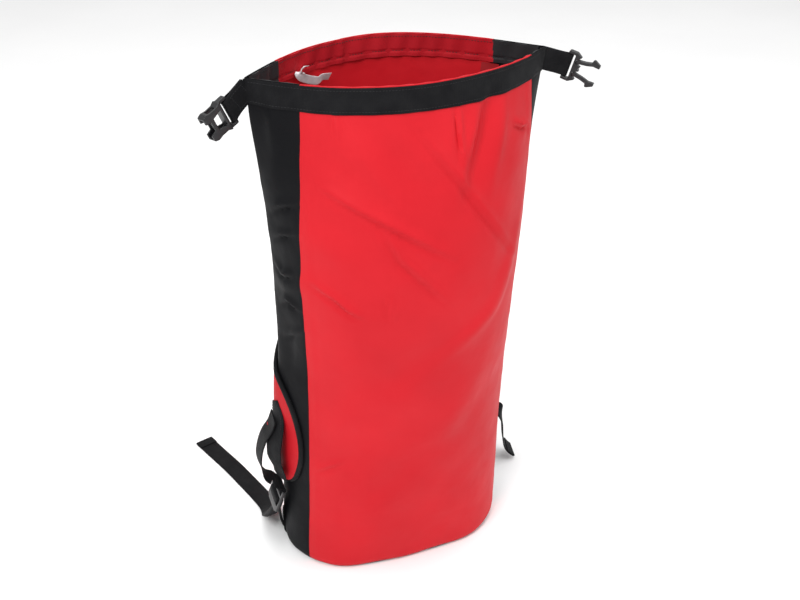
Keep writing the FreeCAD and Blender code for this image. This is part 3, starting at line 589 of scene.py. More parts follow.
def webbing_material(name, low, high, across=480.0, along=850.0):
    """Woven polyester: cords along it and finer ribs across it."""
    material, tree, shader = graph(name)
    place, weave_place = object_place(tree), cloth_place(tree)
    tree.links.new(colour_noise(tree, place, low, high, 60.0), shader.inputs["Base Color"])
    tree.links.new(varied(tree, place, 0.62, 0.78, 40.0), shader.inputs["Roughness"])
    shader.inputs["Specular IOR Level"].default_value = 0.10
    shader.inputs["Sheen Weight"].default_value = 0.04
    shader.inputs["Sheen Roughness"].default_value = 0.4
    weave = crossing_waves(tree, weave_place, across, along)
    fuzz = node(tree, "ShaderNodeTexNoise", in_Scale=900.0, in_Detail=2.0)
    tree.links.new(place, fuzz.inputs["Vector"])
    bump(tree, shader, ((weave, 0.55, 0.0003), (fuzz.outputs["Fac"], 0.15, 0.0002)))
    return material


def moulded_plastic(name, low, high):
    """Acetal with a fine spark-eroded texture, a little glossier where it is handled."""
    material, tree, shader = graph(name)
    place = object_place(tree)
    tree.links.new(colour_noise(tree, place, low, high, 90.0), shader.inputs["Base Color"])
    tree.links.new(varied(tree, place, 0.26, 0.40, 120.0), shader.inputs["Roughness"])
    shader.inputs["Specular IOR Level"].default_value = 0.5
    grain = node(tree, "ShaderNodeTexNoise", in_Scale=2600.0, in_Detail=2.0)
    tree.links.new(place, grain.inputs["Vector"])
    bump(tree, shader, ((grain.outputs["Fac"], 0.12, 0.0001),))
    return material


def spacer_mesh(name):
    """Knitted air mesh with small round holes."""
    material, tree, shader = graph(name)
    place = cloth_place(tree)
    cells = node(tree, "ShaderNodeTexVoronoi", in_Scale=420.0, in_Randomness=0.15)
    tree.links.new(place, cells.inputs["Vector"])
    ramp = node(tree, "ShaderNodeValToRGB")
    ramp.color_ramp.elements[0].position = 0.25
    ramp.color_ramp.elements[1].position = 0.45
    ramp.color_ramp.elements[0].color = (0.006, 0.006, 0.007, 1)
    ramp.color_ramp.elements[1].color = (0.035, 0.035, 0.038, 1)
    tree.links.new(cells.outputs["Distance"], ramp.inputs["Fac"])
    tree.links.new(ramp.outputs["Color"], shader.inputs["Base Color"])
    shader.inputs["Roughness"].default_value = 0.85
    bump(tree, shader, ((cells.outputs["Distance"], 0.6, 0.0006),))
    return material


def foam_material(name):
    material, tree, shader = graph(name)
    place = object_place(tree)
    tree.links.new(colour_noise(tree, place, (0.05, 0.05, 0.05), (0.09, 0.09, 0.09), 300.0),
                   shader.inputs["Base Color"])
    shader.inputs["Roughness"].default_value = 0.9
    grain = node(tree, "ShaderNodeTexNoise", in_Scale=1500.0)
    tree.links.new(place, grain.inputs["Vector"])
    bump(tree, shader, ((grain.outputs["Fac"], 0.3, 0.0003),))
    return material


def satin_tape(name):
    """The label's woven satin."""
    material, tree, shader = graph(name)
    place = cloth_place(tree)
    tree.links.new(colour_noise(tree, place, (0.74, 0.75, 0.78), (0.86, 0.86, 0.88), 160.0),
                   shader.inputs["Base Color"])
    shader.inputs["Roughness"].default_value = 0.5
    shader.inputs["Sheen Weight"].default_value = 0.2
    weave = crossing_waves(tree, place, 1600.0, 1600.0)
    bump(tree, shader, ((weave, 0.2, 0.0001),))
    return material


def make_materials():
    return {
        "red": coated_cloth("coated_red",
                            (0.51, 0.008, 0.015), (0.58, 0.012, 0.020), (0.50, 0.62), 0.16, 0.0),
        "inside_red": coated_cloth("inside_red",
                                   (0.52, 0.012, 0.020), (0.60, 0.018, 0.026), (0.55, 0.68), 0.2),
        "hem_red": coated_cloth("hem_red",
                                (0.36, 0.007, 0.014), (0.46, 0.010, 0.018), (0.55, 0.68), 0.15, 0.0),
        "hem_black": coated_cloth("hem_black",
                                  (0.010, 0.011, 0.013), (0.016, 0.017, 0.019), (0.5, 0.65), 0.35),
        "black": coated_cloth("coated_black",
                              (0.004, 0.004, 0.005), (0.007, 0.007, 0.008), (0.52, 0.64), 0.08, 0.0),
        "base": coated_cloth("base_black", (0.012, 0.012, 0.013), (0.022, 0.022, 0.024), (0.6, 0.75), 0.3),
        "tape": coated_cloth("seam_tape", (0.30, 0.010, 0.014), (0.36, 0.014, 0.018), (0.35, 0.5), 0.4),
        "pad_red": coated_cloth("pad_red",
                                (0.42, 0.006, 0.012), (0.52, 0.010, 0.018), (0.5, 0.62), 0.16, 0.0),
        "webbing": webbing_material("webbing_black", (0.005, 0.005, 0.006), (0.009, 0.009, 0.010)),
        "binding": webbing_material("binding_black",
                                    (0.005, 0.005, 0.006), (0.009, 0.009, 0.010), 700.0, 1100.0),
        "plastic": moulded_plastic("buckle_black", (0.006, 0.006, 0.007), (0.010, 0.010, 0.012)),
        "clear": moulded_plastic("stiffener_plastic", (0.5, 0.5, 0.5), (0.6, 0.6, 0.6)),
        "mesh": spacer_mesh("pad_mesh"),
        "foam": foam_material("pad_foam"),
        "label": satin_tape("label_white"),
        "thread": webbing_material("thread_black", (0.02, 0.02, 0.022), (0.03, 0.03, 0.032)),
        "thread_red": webbing_material("thread_red", (0.20, 0.01, 0.015), (0.28, 0.012, 0.018)),
        # Bright red for the small red mark on the left slack webbing.
        "red_mark": webbing_material("red_mark_material", (0.55, 0.02, 0.03), (0.65, 0.03, 0.04)),
    }


# ---- camera, floor and light --------------------------------------------------------------------------
def look_at(obj, target):
    obj.rotation_euler = (Vector(target) - obj.location).to_track_quat("-Z", "Y").to_euler()


def make_camera():
    data = bpy.data.cameras.new("camera")
    camera = bpy.data.objects.new("camera", data)
    bpy.context.scene.collection.objects.link(camera)
    camera.location = (-0.3994, -1.0668, 0.9543)
    data.lens = 50.83
    data.sensor_width = 36.0
    look_at(camera, (0.01475, 0.0, 0.314))
    bpy.context.scene.camera = camera


def make_stage():
    bpy.ops.mesh.primitive_plane_add(size=12.0, location=(0, 0, -0.0002))
    floor = bpy.context.object
    floor.name = "floor"
    material, tree, shader = graph("floor_white")
    tree.links.new(colour_noise(tree, object_place(tree), (0.95, 0.95, 0.95), (0.97, 0.97, 0.97), 3.0),
                   shader.inputs["Base Color"])
    shader.inputs["Roughness"].default_value = 0.8
    shader.inputs["Specular IOR Level"].default_value = 0.1
    floor.data.materials.append(material)
    bpy.context.scene.view_settings.view_transform = "Standard"
    world = bpy.data.worlds.new("studio")
    bpy.context.scene.world = world
    world.use_nodes = True
    world.node_tree.nodes["Background"].inputs["Color"].default_value = (1.0, 1.0, 1.0, 1)
    world.node_tree.nodes["Background"].inputs["Strength"].default_value = 0.70


def area_light(name, place, target, size, power):
    data = bpy.data.lights.new(name, "AREA")
    data.shape = "RECTANGLE"
    data.size, data.size_y = size
    data.energy = power
    light = bpy.data.objects.new(name, data)
    light.location = place
    bpy.context.scene.collection.objects.link(light)
    look_at(light, target)


def make_lights():
    area_light("key", (-1.3, -1.2, 2.1), (0, 0, 0.3), (0.9, 0.7), 34)
    area_light("fill", (1.9, -0.9, 1.5), (0, 0, 0.3), (1.4, 1.8), 9)
    area_light("top", (0.1, 0.2, 2.6), (0, 0, 0.3), (2.4, 2.4), 40)


# ---- panels ----------------------------------------------------------------------------------------------
ROWS = np.concatenate([np.linspace(FLOOR_CLOTH, 0.014, 9)[:-1], np.linspace(0.014, BAG_HEIGHT, 190)])


def spread_girths(start, end, columns, ease=0.0):
    """Girths between two edge functions, closer together near the edges if ease is above 0."""
    share = np.linspace(0, 1, columns)
    share = share - ease * np.sin(2 * np.pi * share) / (2 * np.pi)
    return lambda height: start(height) + (end(height) - start(height)) * share


def panel(name, start, end, columns, material, proud=None):
    girths = spread_girths(start, end, columns)
    outer, uv = cloth_grid(girths, ROWS, 0.0, proud)
    inner, _ = cloth_grid(girths, ROWS, -FABRIC)
    return sheet_object(name, outer, inner, uv, material)


def seam_ridge(edges):
    """The folded seam allowance of a red panel: a low step beside each of its seams."""
    def proud(girth, height):
        lift = np.zeros_like(girth)
        for edge in edges:
            seam = np.array([edge(h) for h in height[:, 0]])[:, None]
            gap = np.abs(girth - seam)
            step = 1 / (1 + np.exp((gap - SEAM_ALLOWANCE) / 0.0009))
            groove = np.exp(-((gap - 0.0024) / 0.0007) ** 2)
            lift += SEAM_STEP * step - 0.0004 * groove
        return lift
    return proud


def seam_dip(edges):
    """A black panel goes under the red one, so its edge drops a little at the seam."""
    def proud(girth, height):
        lift = np.zeros_like(girth)
        for edge in edges:
            seam = np.array([edge(h) for h in height[:, 0]])[:, None]
            lift -= 0.0006 * np.exp(-(np.abs(girth - seam) / 0.0022) ** 2)
        return lift
    return proud


SEAM = [lambda h, i=i: seam_girths(h)[i] for i in range(4)]


def make_panels(mat):
    front = panel("bag_front", SEAM[0], SEAM[1], 112, mat["red"], seam_ridge(SEAM[:2]))
    back = panel("bag_back", SEAM[2], SEAM[3], 100, mat["red"], seam_ridge(SEAM[2:]))
    left = panel("bag_side_left", lambda h: seam_girths(h)[3] - BAG_GIRTH, SEAM[0], 56,
                 mat["black"], seam_dip([lambda h: seam_girths(h)[3] - BAG_GIRTH, SEAM[0]]))
    right = panel("bag_side_right", SEAM[1], SEAM[2], 44, mat["black"], seam_dip(SEAM[1:3]))
    for obj, name, slot in ((front, "front_panel", "front_red"), (back, "back_panel", "back_red"),
                            (left, "left_side_panel", "side_black"),
                            (right, "right_side_panel", "side_black")):
        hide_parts(name)
        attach(obj, "bag")
    width = seam_girths(0.3)


def make_base(mat):
    """The base cloth: an oval sheet a little domed off the floor, turned up into the walls."""
    around = np.linspace(0, BAG_GIRTH, 160, endpoint=False)
    rim = plain_point(around, 0.0, -0.005)
    middle = rim.mean(0)
    rings = []
    for share in np.linspace(0.02, 1.0, 26):
        ring = middle + (rim - middle) * share
        ring[:, 2] = 0.0004 + 0.0012 * (1 - share ** 4)
        rings.append(ring)
    rings.append(plain_point(around, 0.0, -0.0032) + np.array([0, 0, 0.0020]))
    outer = np.array(rings)
    count = len(around)
    inner = outer[::-1] + np.array([0, 0, 0.0011])
    verts = np.concatenate([outer.reshape(-1, 3), inner.reshape(-1, 3)])
    faces = grid_faces(2 * len(rings), count, 0, False, True)
    faces.append(tuple(range(count))[::-1])
    last = (2 * len(rings) - 1) * count
    faces.append(tuple(last + i for i in range(count)))
    base = new_object("bag_base", verts, faces, verts[:, :2], mat["base"])
    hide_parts("base_panel")
    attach(base, "bag")


def make_seam_tapes(mat):
    half = 0.010
    heights = np.linspace(0.004, 0.573, 120)
    names = ("left_front", "right_front", "right_back", "left_back")
    for seam, name in zip(SEAM, names):
        girths = spread_girths(lambda h: seam(h) - half, lambda h: seam(h) + half, 9)
        outer, uv = cloth_grid(girths, heights, -FABRIC - 0.0001)
        inner, _ = cloth_grid(girths, heights, -FABRIC - 0.0004)
        tape = sheet_object(name + "_welded_tape", outer, inner, uv, mat["tape"])
        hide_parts(name + "_seam_tape")
        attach(tape, "bag")


# ---- mouth ---------------------------------------------------------------------------------------
def hem_pucker(girth, height):
    """Small gathers where the hem's stitching draws the cloth in."""
    place = on_back_left(girth)
    line = np.exp(-((height - 0.5800) / 0.006) ** 2)
    gather = 0.35 * np.sin(place * 2 * np.pi / 0.0086 + 2.2 * np.sin(place * 60.0))
    slant = np.sin((place + 0.35 * height) * 2 * np.pi / 0.023 + 1.3 * np.sin(place * 37.0))
    draw = -0.0009 * np.exp(-((height - 0.5810) / 0.0012) ** 2)
    return 0.0006 * gather * (0.4 + 0.6 * line) + 0.0008 * slant + draw


def blacken_sides(hem, black):
    """The hem is black where it is turned in from the black side panels."""
    left_front, right_front, right_back, left_back = seam_girths(BAG_HEIGHT)
    hem.data.materials.append(black)
    spots = hem.data.uv_layers[0].data
    for face in hem.data.polygons:
        girth = sum(spots[loop].uv[0] for loop in face.loop_indices) / face.loop_total
        if girth < left_front or right_front < girth < right_back or girth > left_back:
            face.material_index = 1


def facing(name, start, end, mat):
    heights = np.linspace(BAG_HEIGHT - HEM_WIDTH, BAG_HEIGHT - 0.0004, 24)
    girths = spread_girths(start, end, 260)
    outer, uv = cloth_grid(girths, heights, -0.0026)
    inner, _ = cloth_grid(girths, heights, -0.0035, lambda g, h: -hem_pucker(g, h))
    made = sheet_object(name, outer, inner, uv, mat["hem_red"])
    blacken_sides(made, mat["hem_black"])
    line_heights = (0.5810, 0.5965)
    lines = []
    for height in line_heights:
        reach = np.linspace(start(height) + 0.004, end(height) - 0.004, 200)
        lift = relief(reach, np.full_like(reach, height)) - hem_pucker(reach, np.full_like(reach, height))
        points = plain_point(reach, height, lift - 0.0035)
        deeper = plain_point(reach, height, lift - 0.0135)
        lines.append((points, deeper - points))
    thread = stitches(name + "_stitches", lines, mat["thread"], 0.0034, 0.0025, 0.0003)
    for obj in (made, thread):
        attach(obj, "bag")
    return made


def make_facings(mat):
    def right(height):
        return front_arc(height) - 0.005

    front = facing("front_facing", lambda h: 0.005, right, mat)
    back = facing("back_facing", lambda h: front_arc(h) + 0.005, lambda h: BAG_GIRTH - 0.005, mat)
    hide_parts("front_hem_facing")
    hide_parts("back_hem_facing")
    arc = front_arc(0.59)


def make_stiffener(mat):
    """The stiffener stays as it is in CAD, hidden between the front panel and its facing."""
    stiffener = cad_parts["mouth_stiffener"]
    stiffener.data.materials.clear()
    stiffener.data.materials.append(mat["clear"])


def make_band(mat):
    """Webbing sewn round the front of the mouth, with two rows of stitches."""
    heights = np.linspace(BAND_TOP - BAND_WIDTH, BAND_TOP, 15)
    edge = np.abs(np.linspace(-1, 1, 15))
    crown = -0.0005 * edge ** 6

    def proud(girth, height):
        wave = 0.0003 * np.sin(girth * 210.0) * (np.abs(height - 0.585) / 0.0125) ** 2
        return np.repeat(crown[:, None], girth.shape[1], 1) + wave

    girths = spread_girths(lambda h: 0.0, front_arc, 170)
    outer, uv = cloth_grid(girths, heights, 0.0001 + WEBBING, proud)
    inner, _ = cloth_grid(girths, heights, 0.0001)
    band = sheet_object("mouth_webbing", outer, inner, uv, mat["webbing"])
    lines = []
    for height in (BAND_TOP - 0.0028, BAND_TOP - BAND_WIDTH + 0.0028):
        reach = np.linspace(0.004, front_arc(height) - 0.004, 200)
        lift = relief(reach, np.full_like(reach, height)) + 0.0001 + WEBBING
        points = plain_point(reach, height, lift)
        lines.append((points, plain_point(reach, height, lift + 0.01) - points))
    thread = stitches("mouth_webbing_stitches", lines, mat["thread"])
    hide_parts("mouth_band")
    for obj in (band, thread):
        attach(obj, "bag")
    front_arc(0.585)


# The label's middle line, as girth and height, and its width directions
LABEL_ROUTE = (((-0.100, 0.584), (0.90, 0.10, 0.42)), ((-0.089, 0.580), (0.60, -0.10, 0.80)),
               ((-0.092, 0.574), (0.45, -0.25, 0.86)), ((-0.100, 0.570), (0.10, -0.30, 0.95)),
               ((-0.108, 0.567), (-0.15, -0.35, 0.93)), ((-0.116, 0.565), (-0.25, -0.40, 0.88)),
               ((-0.122, 0.567), (-0.30, -0.50, 0.80)), ((-0.133, 0.566), (-0.15, -0.55, 0.82)))
LABEL_WIDTH = 0.010
LABEL_DEPTH = 0.0085                     # inside the back cloth, clear of the hem


def make_label(mat):
    """A blank satin label, sewn in under the hem and curled off the cloth."""
    places = [tuple(plain_point([girth], height, -LABEL_DEPTH)[0]) for (girth, height), _ in LABEL_ROUTE]
    points, ways = resample(list(zip(places, [way for _, way in LABEL_ROUTE])), 48)
    label = ribbon("care_label", [(points, ways)], mat["label"], LABEL_WIDTH, 0.0004)
    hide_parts("inner_label")
    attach(label, "bag")


# ---- buckle --------------------------------------------------------------------------------------
def make_buckles(mat):
    for name, node_name, body in (("buckle_socket_half", "female_buckle", "female_buckle"),
                                  ("buckle_pronged_half", "male_buckle", "male_buckle"),
                                  ("prong_upper", "upper_prong", "upper_prong"),
                                  ("prong_lower", "lower_prong", "lower_prong")):
        piece = moulded_copy(name, node_name, mat["plastic"], 0.00038, 7)
        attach(piece, body)


def loop_route(piece, corner, corner_way, gap):
    """Webbing from the corner out to the bar, round it and back to the corner."""
    origin, _, _, bar_way = local_axes(piece)
    corner = np.array(corner, float)
    away = unit(origin - corner)
    length = float(np.linalg.norm(origin - corner))
    if np.dot(corner_way, bar_way) < 0:
        corner_way = -np.asarray(corner_way)
    turn_radius = BAR_R + 0.0003 + WEBBING / 2
    points, ways = [], []

    def way_at(share):
        turned = min(max((share - 0.2) / 0.7, 0.0), 1.0)
        turned = turned * turned * (3 - 2 * turned)
        return unit(unit(corner_way) * (1 - turned) + bar_way * turned)

    for share in np.linspace(0, 1, 14):
        way = way_at(share)
        normal = unit(np.cross(away, way))
        spread_out = gap + (turn_radius - gap) * max(0.0, (share - 0.55) / 0.45) ** 1.6
        points.append(corner + away * (length * share) + normal * spread_out)
        ways.append(way)
    normal = unit(np.cross(away, bar_way))
    for angle in np.linspace(0, math.pi, 13)[1:-1]:
        points.append(origin + normal * turn_radius * math.cos(angle) + away * turn_radius * math.sin(angle))
        ways.append(bar_way)
    for share in np.linspace(1, 0.02, 14):
        way = way_at(share)
        normal = unit(np.cross(away, way))
        spread_out = gap + (turn_radius - gap) * max(0.0, (share - 0.55) / 0.45) ** 1.6
        points.append(corner + away * (length * share) - normal * spread_out)
        ways.append(way)
    return np.array(points), np.array(ways)


def fold_corner(right):
    middle = BAND_TOP - WEBBING_WIDTH / 2
    girth = front_arc(middle) if right else 0.0
    low_girth = front_arc(middle - 0.01) if right else 0.0
    corner = plain_point([girth], middle, 0.0006)[0]
    return corner, plain_point([low_girth], middle - 0.01, 0.0006)[0] - corner


def make_buckle_webbing(mat):
    for side, piece, right in (("left", SOCKET, False), ("right", MALE, True)):
        corner, way = fold_corner(right)
        corner = corner - unit(np.array(piece[0]) - corner) * 0.005
        route = loop_route(piece, corner, way, WEBBING / 2 + 0.0001)
        strap = ribbon(side + "_buckle_strap", [route], mat["webbing"])
        points, ways = route
        _, across, normal = frames_along(points, ways)
        lines = []
        for reach in (0.0090, -0.0090):
            lines.append((points[1:11] + across[1:11] * reach + normal[1:11] * WEBBING / 2, normal[1:11]))
        box_row = np.linspace(-0.009, 0.009, 8)[:, None]
        for index in (2, 9):
            middle = points[index] + normal[index] * WEBBING / 2
            lines.append((middle + across[index] * box_row, np.repeat(normal[index][None], 8, 0)))
        thread = stitches(side + "_buckle_strap_stitches", lines, mat["thread"], 0.0028, 0.0020)
        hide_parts(side + "_buckle_webbing")
        for obj in (strap, thread):
            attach(obj, "bag")


# ---- shoulder straps -----------------------------------------------------------------------------
PAD_ROWS = 110


def pad_stations(route):
    return smoothed(route, PAD_ROWS)


def pad_points(stations, mirror, widths, outs):
    """Points beside the bag. widths are in metres, + towards the outer edge; one row a station."""
    run = np.gradient(stations[:, :2], axis=0)
    run = run / np.linalg.norm(run, axis=1, keepdims=True)
    grid = np.empty((*widths.shape, 3))
    for i, (distance, height, _) in enumerate(stations):
        cross = (-run[i, 1], run[i, 0])
        reach = distance - cross[0] * widths[i]
        high = height - cross[1] * widths[i]
        for j in range(widths.shape[1]):
            girth = front_arc(high[j]) + reach[j] if mirror else -reach[j]
            grid[i, j] = plain_point([girth], high[j], outs[i, j])[0]
    return grid


def pad_uv(stations, widths):
    walked = np.concatenate([[0.0], np.cumsum(np.hypot(*np.diff(stations[:, :2], axis=0).T))])
    return np.stack([widths, np.repeat(walked[:, None], widths.shape[1], 1)], -1)


def end_round(stations):
    """Share of the half-width left at each station, as the two ends round off."""
    share = np.linspace(0, 1, len(stations))
    tip = np.clip((1 - share) / 0.055, 0, 1)
    return 0.55 + 0.45 * np.sqrt(1 - (1 - tip) ** 2)


def pad_crown(across, along):
    """The face's height: full in the middle, pinched and puckered at the binding."""
    edge = np.abs(across)
    body = 0.0058 * (1 - edge ** 3.2) + 0.0034 * edge ** 3.2
    pucker = 0.00028 * np.sin(along * 2 * np.pi / 0.0072) * edge ** 6
    swell = 0.0006 * np.sin(along * 2 * np.pi / 0.052 + 2.0 * across)
    return PAD_STANDOFF + body + pucker + swell * (1 - edge ** 4)


def slack_lift(side, rows):
    """The left webbing is slack: sewn at its top, it bulges off the pad before the lock."""
    share = np.linspace(0, 1, rows)
    if side == "right":
        return np.zeros(rows)
    rise = np.clip((share - 0.10) / 0.45, 0, 1)
    fall = np.clip((share - 0.70) / 0.30, 0, 1)
    return 0.0120 * rise * rise * (3 - 2 * rise) - 0.0060 * fall * fall * (3 - 2 * fall)


def sew_face_webbing(side, stations, mirror, sewn, mat):
    first, last, aside = sewn
    rows = slice(round(first * PAD_ROWS), round(last * PAD_ROWS))
    part = stations[rows]
    lift = slack_lift(side, len(part))[:, None]
    reach = np.linspace(aside - WEBBING_WIDTH / 2, aside + WEBBING_WIDTH / 2, 13)
    widths = np.repeat(reach[None], len(part), 0)
    walked = pad_uv(stations, np.zeros((len(stations), 1)))[rows, 0, 1]
    base = pad_crown(np.clip(widths / part[:, 2:3], -1, 1), np.repeat(walked[:, None], 13, 1)) + lift
    edge = np.abs(np.linspace(-1, 1, 13))[None]
    outer = pad_points(part, mirror, widths, base + 0.0001 + WEBBING - 0.0005 * edge ** 6)
    inner = pad_points(part, mirror, widths, base - 0.0001)
    strip = sheet_object(side + "_strap_sewn_webbing", outer, inner,
                         pad_uv(part, widths), mat["webbing"], mirror)
    sewn_rows = len(part) if side == "right" else 12
    lines = []
    for away in (-0.0098, 0.0098):
        line = np.full((sewn_rows, 1), aside + away)
        high = pad_crown(np.clip(line / part[:sewn_rows, 2:3], -1, 1), walked[:sewn_rows, None])
        high = high + lift[:sewn_rows] + 0.0001 + WEBBING
        points = pad_points(part[:sewn_rows], mirror, line, high)[:, 0]
        lines.append((points, pad_points(part[:sewn_rows], mirror, line, high + 0.01)[:, 0] - points))
    thread = stitches(side + "_strap_webbing_stitches", lines, mat["thread"])
    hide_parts(side + "_strap_webbing")
    return [(strip, "webbing_black"), (thread, "webbing_black")]


def binding_strip(name, stations, mirror, sides, material):
    """Folded tape over the pad's edges: a rounded bead that wraps face and lining."""
    verts, faces, uvs, offset = [], [], [], 0
    turns = np.linspace(0, 2 * math.pi, 15)[:-1]
    for sign in sides:
        half = stations[:, 2:3]
        flat = 0.0036 * np.cos(turns)[None]
        widths = sign * (half - 0.0012 + flat)
        thick = 0.0028 + 0.0004 * np.cos(turns)
        outs = PAD_STANDOFF + 0.0022 + thick[None] * np.sin(turns)[None] * 0.86 + 0 * half
        grid = pad_points(stations, mirror, widths, np.maximum(outs, 0.0004))
        flip = (sign < 0) != mirror
        faces += grid_faces(len(stations), len(turns), offset, flip, True)
        cap = tuple(offset + i for i in range(len(turns)))
        end = tuple(offset + (len(stations) - 1) * len(turns) + i for i in range(len(turns)))
        faces.append(cap if flip else cap[::-1])
        faces.append(end[::-1] if flip else end)
        verts.append(grid.reshape(-1, 3))
        uvs.append(pad_uv(stations, widths).reshape(-1, 2))
        offset += grid.shape[0] * grid.shape[1]
    return new_object(name, np.concatenate(verts), faces, np.concatenate(uvs), material)


def make_pad(side, route, mirror, sewn, mat):
    stations = pad_stations(route)
    stations[:, 2] *= end_round(stations)
    columns = np.linspace(-1, 1, 25)
    widths = stations[:, 2:3] * columns[None]
    uv = pad_uv(stations, widths)
    crown = pad_crown(np.repeat(columns[None], PAD_ROWS, 0), uv[..., 1])
    low = np.full_like(widths, PAD_STANDOFF)
    pieces = []
    layers = (("face", crown, crown - 0.0006, "red", "pad_red"),
              ("foam", crown - 0.0007, low + 0.0007, "foam", "pad_foam"),
              ("lining", low + 0.0006, low, "mesh", "pad_mesh"))
    for layer, high, deep, look, slot in layers:
        outer = pad_points(stations, mirror, widths, high)
        inner = pad_points(stations, mirror, widths, deep)
        look = "pad_red" if layer == "face" else look
        made = sheet_object(f"{side}_pad_{layer}", outer, inner, uv, mat[look], mirror)
        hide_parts(f"{side}_strap_{layer}")
        pieces.append((made, slot))
    binding = binding_strip(side + "_pad_binding", stations, mirror, (1, -1), mat["binding"])
    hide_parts(side + "_strap_binding")
    pieces.append((binding, "binding_black"))
    pieces += sew_face_webbing(side, stations, mirror, sewn, mat)
    for obj, slot in pieces:
        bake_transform(obj)


def make_yoke(mat):
    """The webbing patch across the back that both pads are sewn under, with crossed stitching."""
    def beside_middle(distance):
        return lambda h: (front_arc(h) + BAG_GIRTH) / 2 + distance

    heights = np.linspace(*YOKE_HEIGHTS, 13)
    girths = spread_girths(beside_middle(-YOKE_HALF_WIDTH), beside_middle(YOKE_HALF_WIDTH), 80)
    outer, uv = cloth_grid(girths, heights, 0.0003 + WEBBING)
    inner, _ = cloth_grid(girths, heights, 0.0001)
    patch = sheet_object("strap_yoke", outer, inner, uv, mat["webbing"])
    lines = []
    middle = (front_arc(0.44) + BAG_GIRTH) / 2
    corners = []
    for centre in (-0.053, 0.0, 0.053):
        left, right, low, high = centre - 0.020, centre + 0.020, 0.4300, 0.4475
        corners += [((left, low), (right, low)), ((right, low), (right, high)), ((right, high), (left, high)),
                    ((left, high), (left, low)), ((left, low), (right, high)), ((left, high), (right, low))]
    for (g0, h0), (g1, h1) in corners:
        share = np.linspace(0, 1, 12)
        points, tips = [], []
        for s in share:
            girth, height = middle + g0 + (g1 - g0) * s, h0 + (h1 - h0) * s
            lift = relief(np.array([girth]), np.array([height]))[0] + 0.0003 + WEBBING
            points.append(plain_point([girth], height, lift)[0])
            tips.append(plain_point([girth], height, lift + 0.01)[0])
        points = np.array(points)
        lines.append((points, np.array(tips) - points))
    thread = stitches("strap_yoke_stitches", lines, mat["thread"])
    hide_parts("strap_yoke_patch")
    for obj in (patch, thread):
        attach(obj, "bag")


# ---- ladder locks, lower webbing and tails -------------------------------------------------------
def make_locks(mat):
    for side in ("left", "right"):
        lock = moulded_copy(side + "_lock", side + "_ladder_lock", mat["plastic"], 0.00038, 6)
        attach(lock, side + "_lock")


def resample(stations, count):
    rows = smoothed([tuple(p) + tuple(w) for p, w in stations], count)
    return rows[:, :3], rows[:, 3:]


# Middle of the slack webbing between the left pad and its lock, and its width direction
LEFT_SLACK = (((-0.1462, -0.008, 0.196), (0.05, 1.0, 0.0)), ((-0.1500, -0.005, 0.182), (0.03, 1.0, 0.0)),
              ((-0.1570, 0.001, 0.165), (0.0, 1.0, 0.0)), ((-0.1622, 0.004, 0.146), (0.0, 1.0, 0.0)),
              ((-0.1640, 0.003, 0.130), (0.0, 1.0, 0.05)), ((-0.1605, -0.004, 0.116), (0.0, 0.99, 0.15)),
              ((-0.1520, -0.0099, 0.108), (0.0, 0.966, 0.258)))


def make_lock_loops(mat):
    end = np.array(LEFT_SLACK[-1][0])
    slack = resample(LEFT_SLACK, 60)
    left_bar = loop_route(LEFT_LOCK, end, np.array(LEFT_LOCK[1]), WEBBING / 2 + 0.0001)
    left = ribbon("left_slack_loop", [slack, left_bar], mat["webbing"])
    pad_end = RIGHT_PAD_ROUTE[-1]
    height = pad_end[1] + 0.008
    start = plain_point([front_arc(height) + pad_end[0]], height, PAD_FACE_OUT + 0.003)[0]
    right_bar = loop_route(RIGHT_LOCK, start, np.array(RIGHT_LOCK[1]), WEBBING / 2 + 0.0001)
    right = ribbon("right_lock_strap", [right_bar], mat["webbing"])
    # A small bright red mark on the left slack webbing, drawn as four rows of short thread bars.
    points, ways = slack
    _, across, normal = frames_along(points, ways)
    rows = np.linspace(-0.0025, 0.0025, 4)[:, None]
    side = -1 if normal[12][0] > 0 else 1
    middle = points[12] + normal[12] * side * WEBBING / 2 + across[12] * 0.006
    lines = [(middle + across[12] * rows, np.repeat(normal[12][None] * side, 4, 0))]
    red_mark_bars = stitches("left_slack_loop_red_mark", lines, mat["red_mark"], 0.0009, 0.0008, 0.00035)
    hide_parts("left_lock_loop")
    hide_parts("right_lock_loop")
    for obj in (left, right, red_mark_bars):
        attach(obj, "bag")


# Way of the webbing through a lock, in the lock's X and Y, from the tail's side to the anchor's
THREADING = ((0.0360, -0.0029), (0.0290, -0.0029), (0.0240, -0.0022), (0.0228, 0.0004),
             (0.0220, 0.0026), (0.0185, 0.0031), (0.0150, 0.0026), (0.0136, 0.0000),
             (0.0150, -0.0040), (0.0200, -0.0051), (0.0330, -0.0052))


def anchor_place(mirror, from_fold):
    height = ANCHOR_HEIGHTS[1] - 0.008
    out = 0.0029
    places = []
    for reach in (0.0, WEBBING_WIDTH / 2, WEBBING_WIDTH):
        distance = from_fold + reach
        girth = front_arc(height) + distance if mirror else -distance
        places.append(plain_point([girth], height, out)[0])
    return places[1], places[2] - places[0]


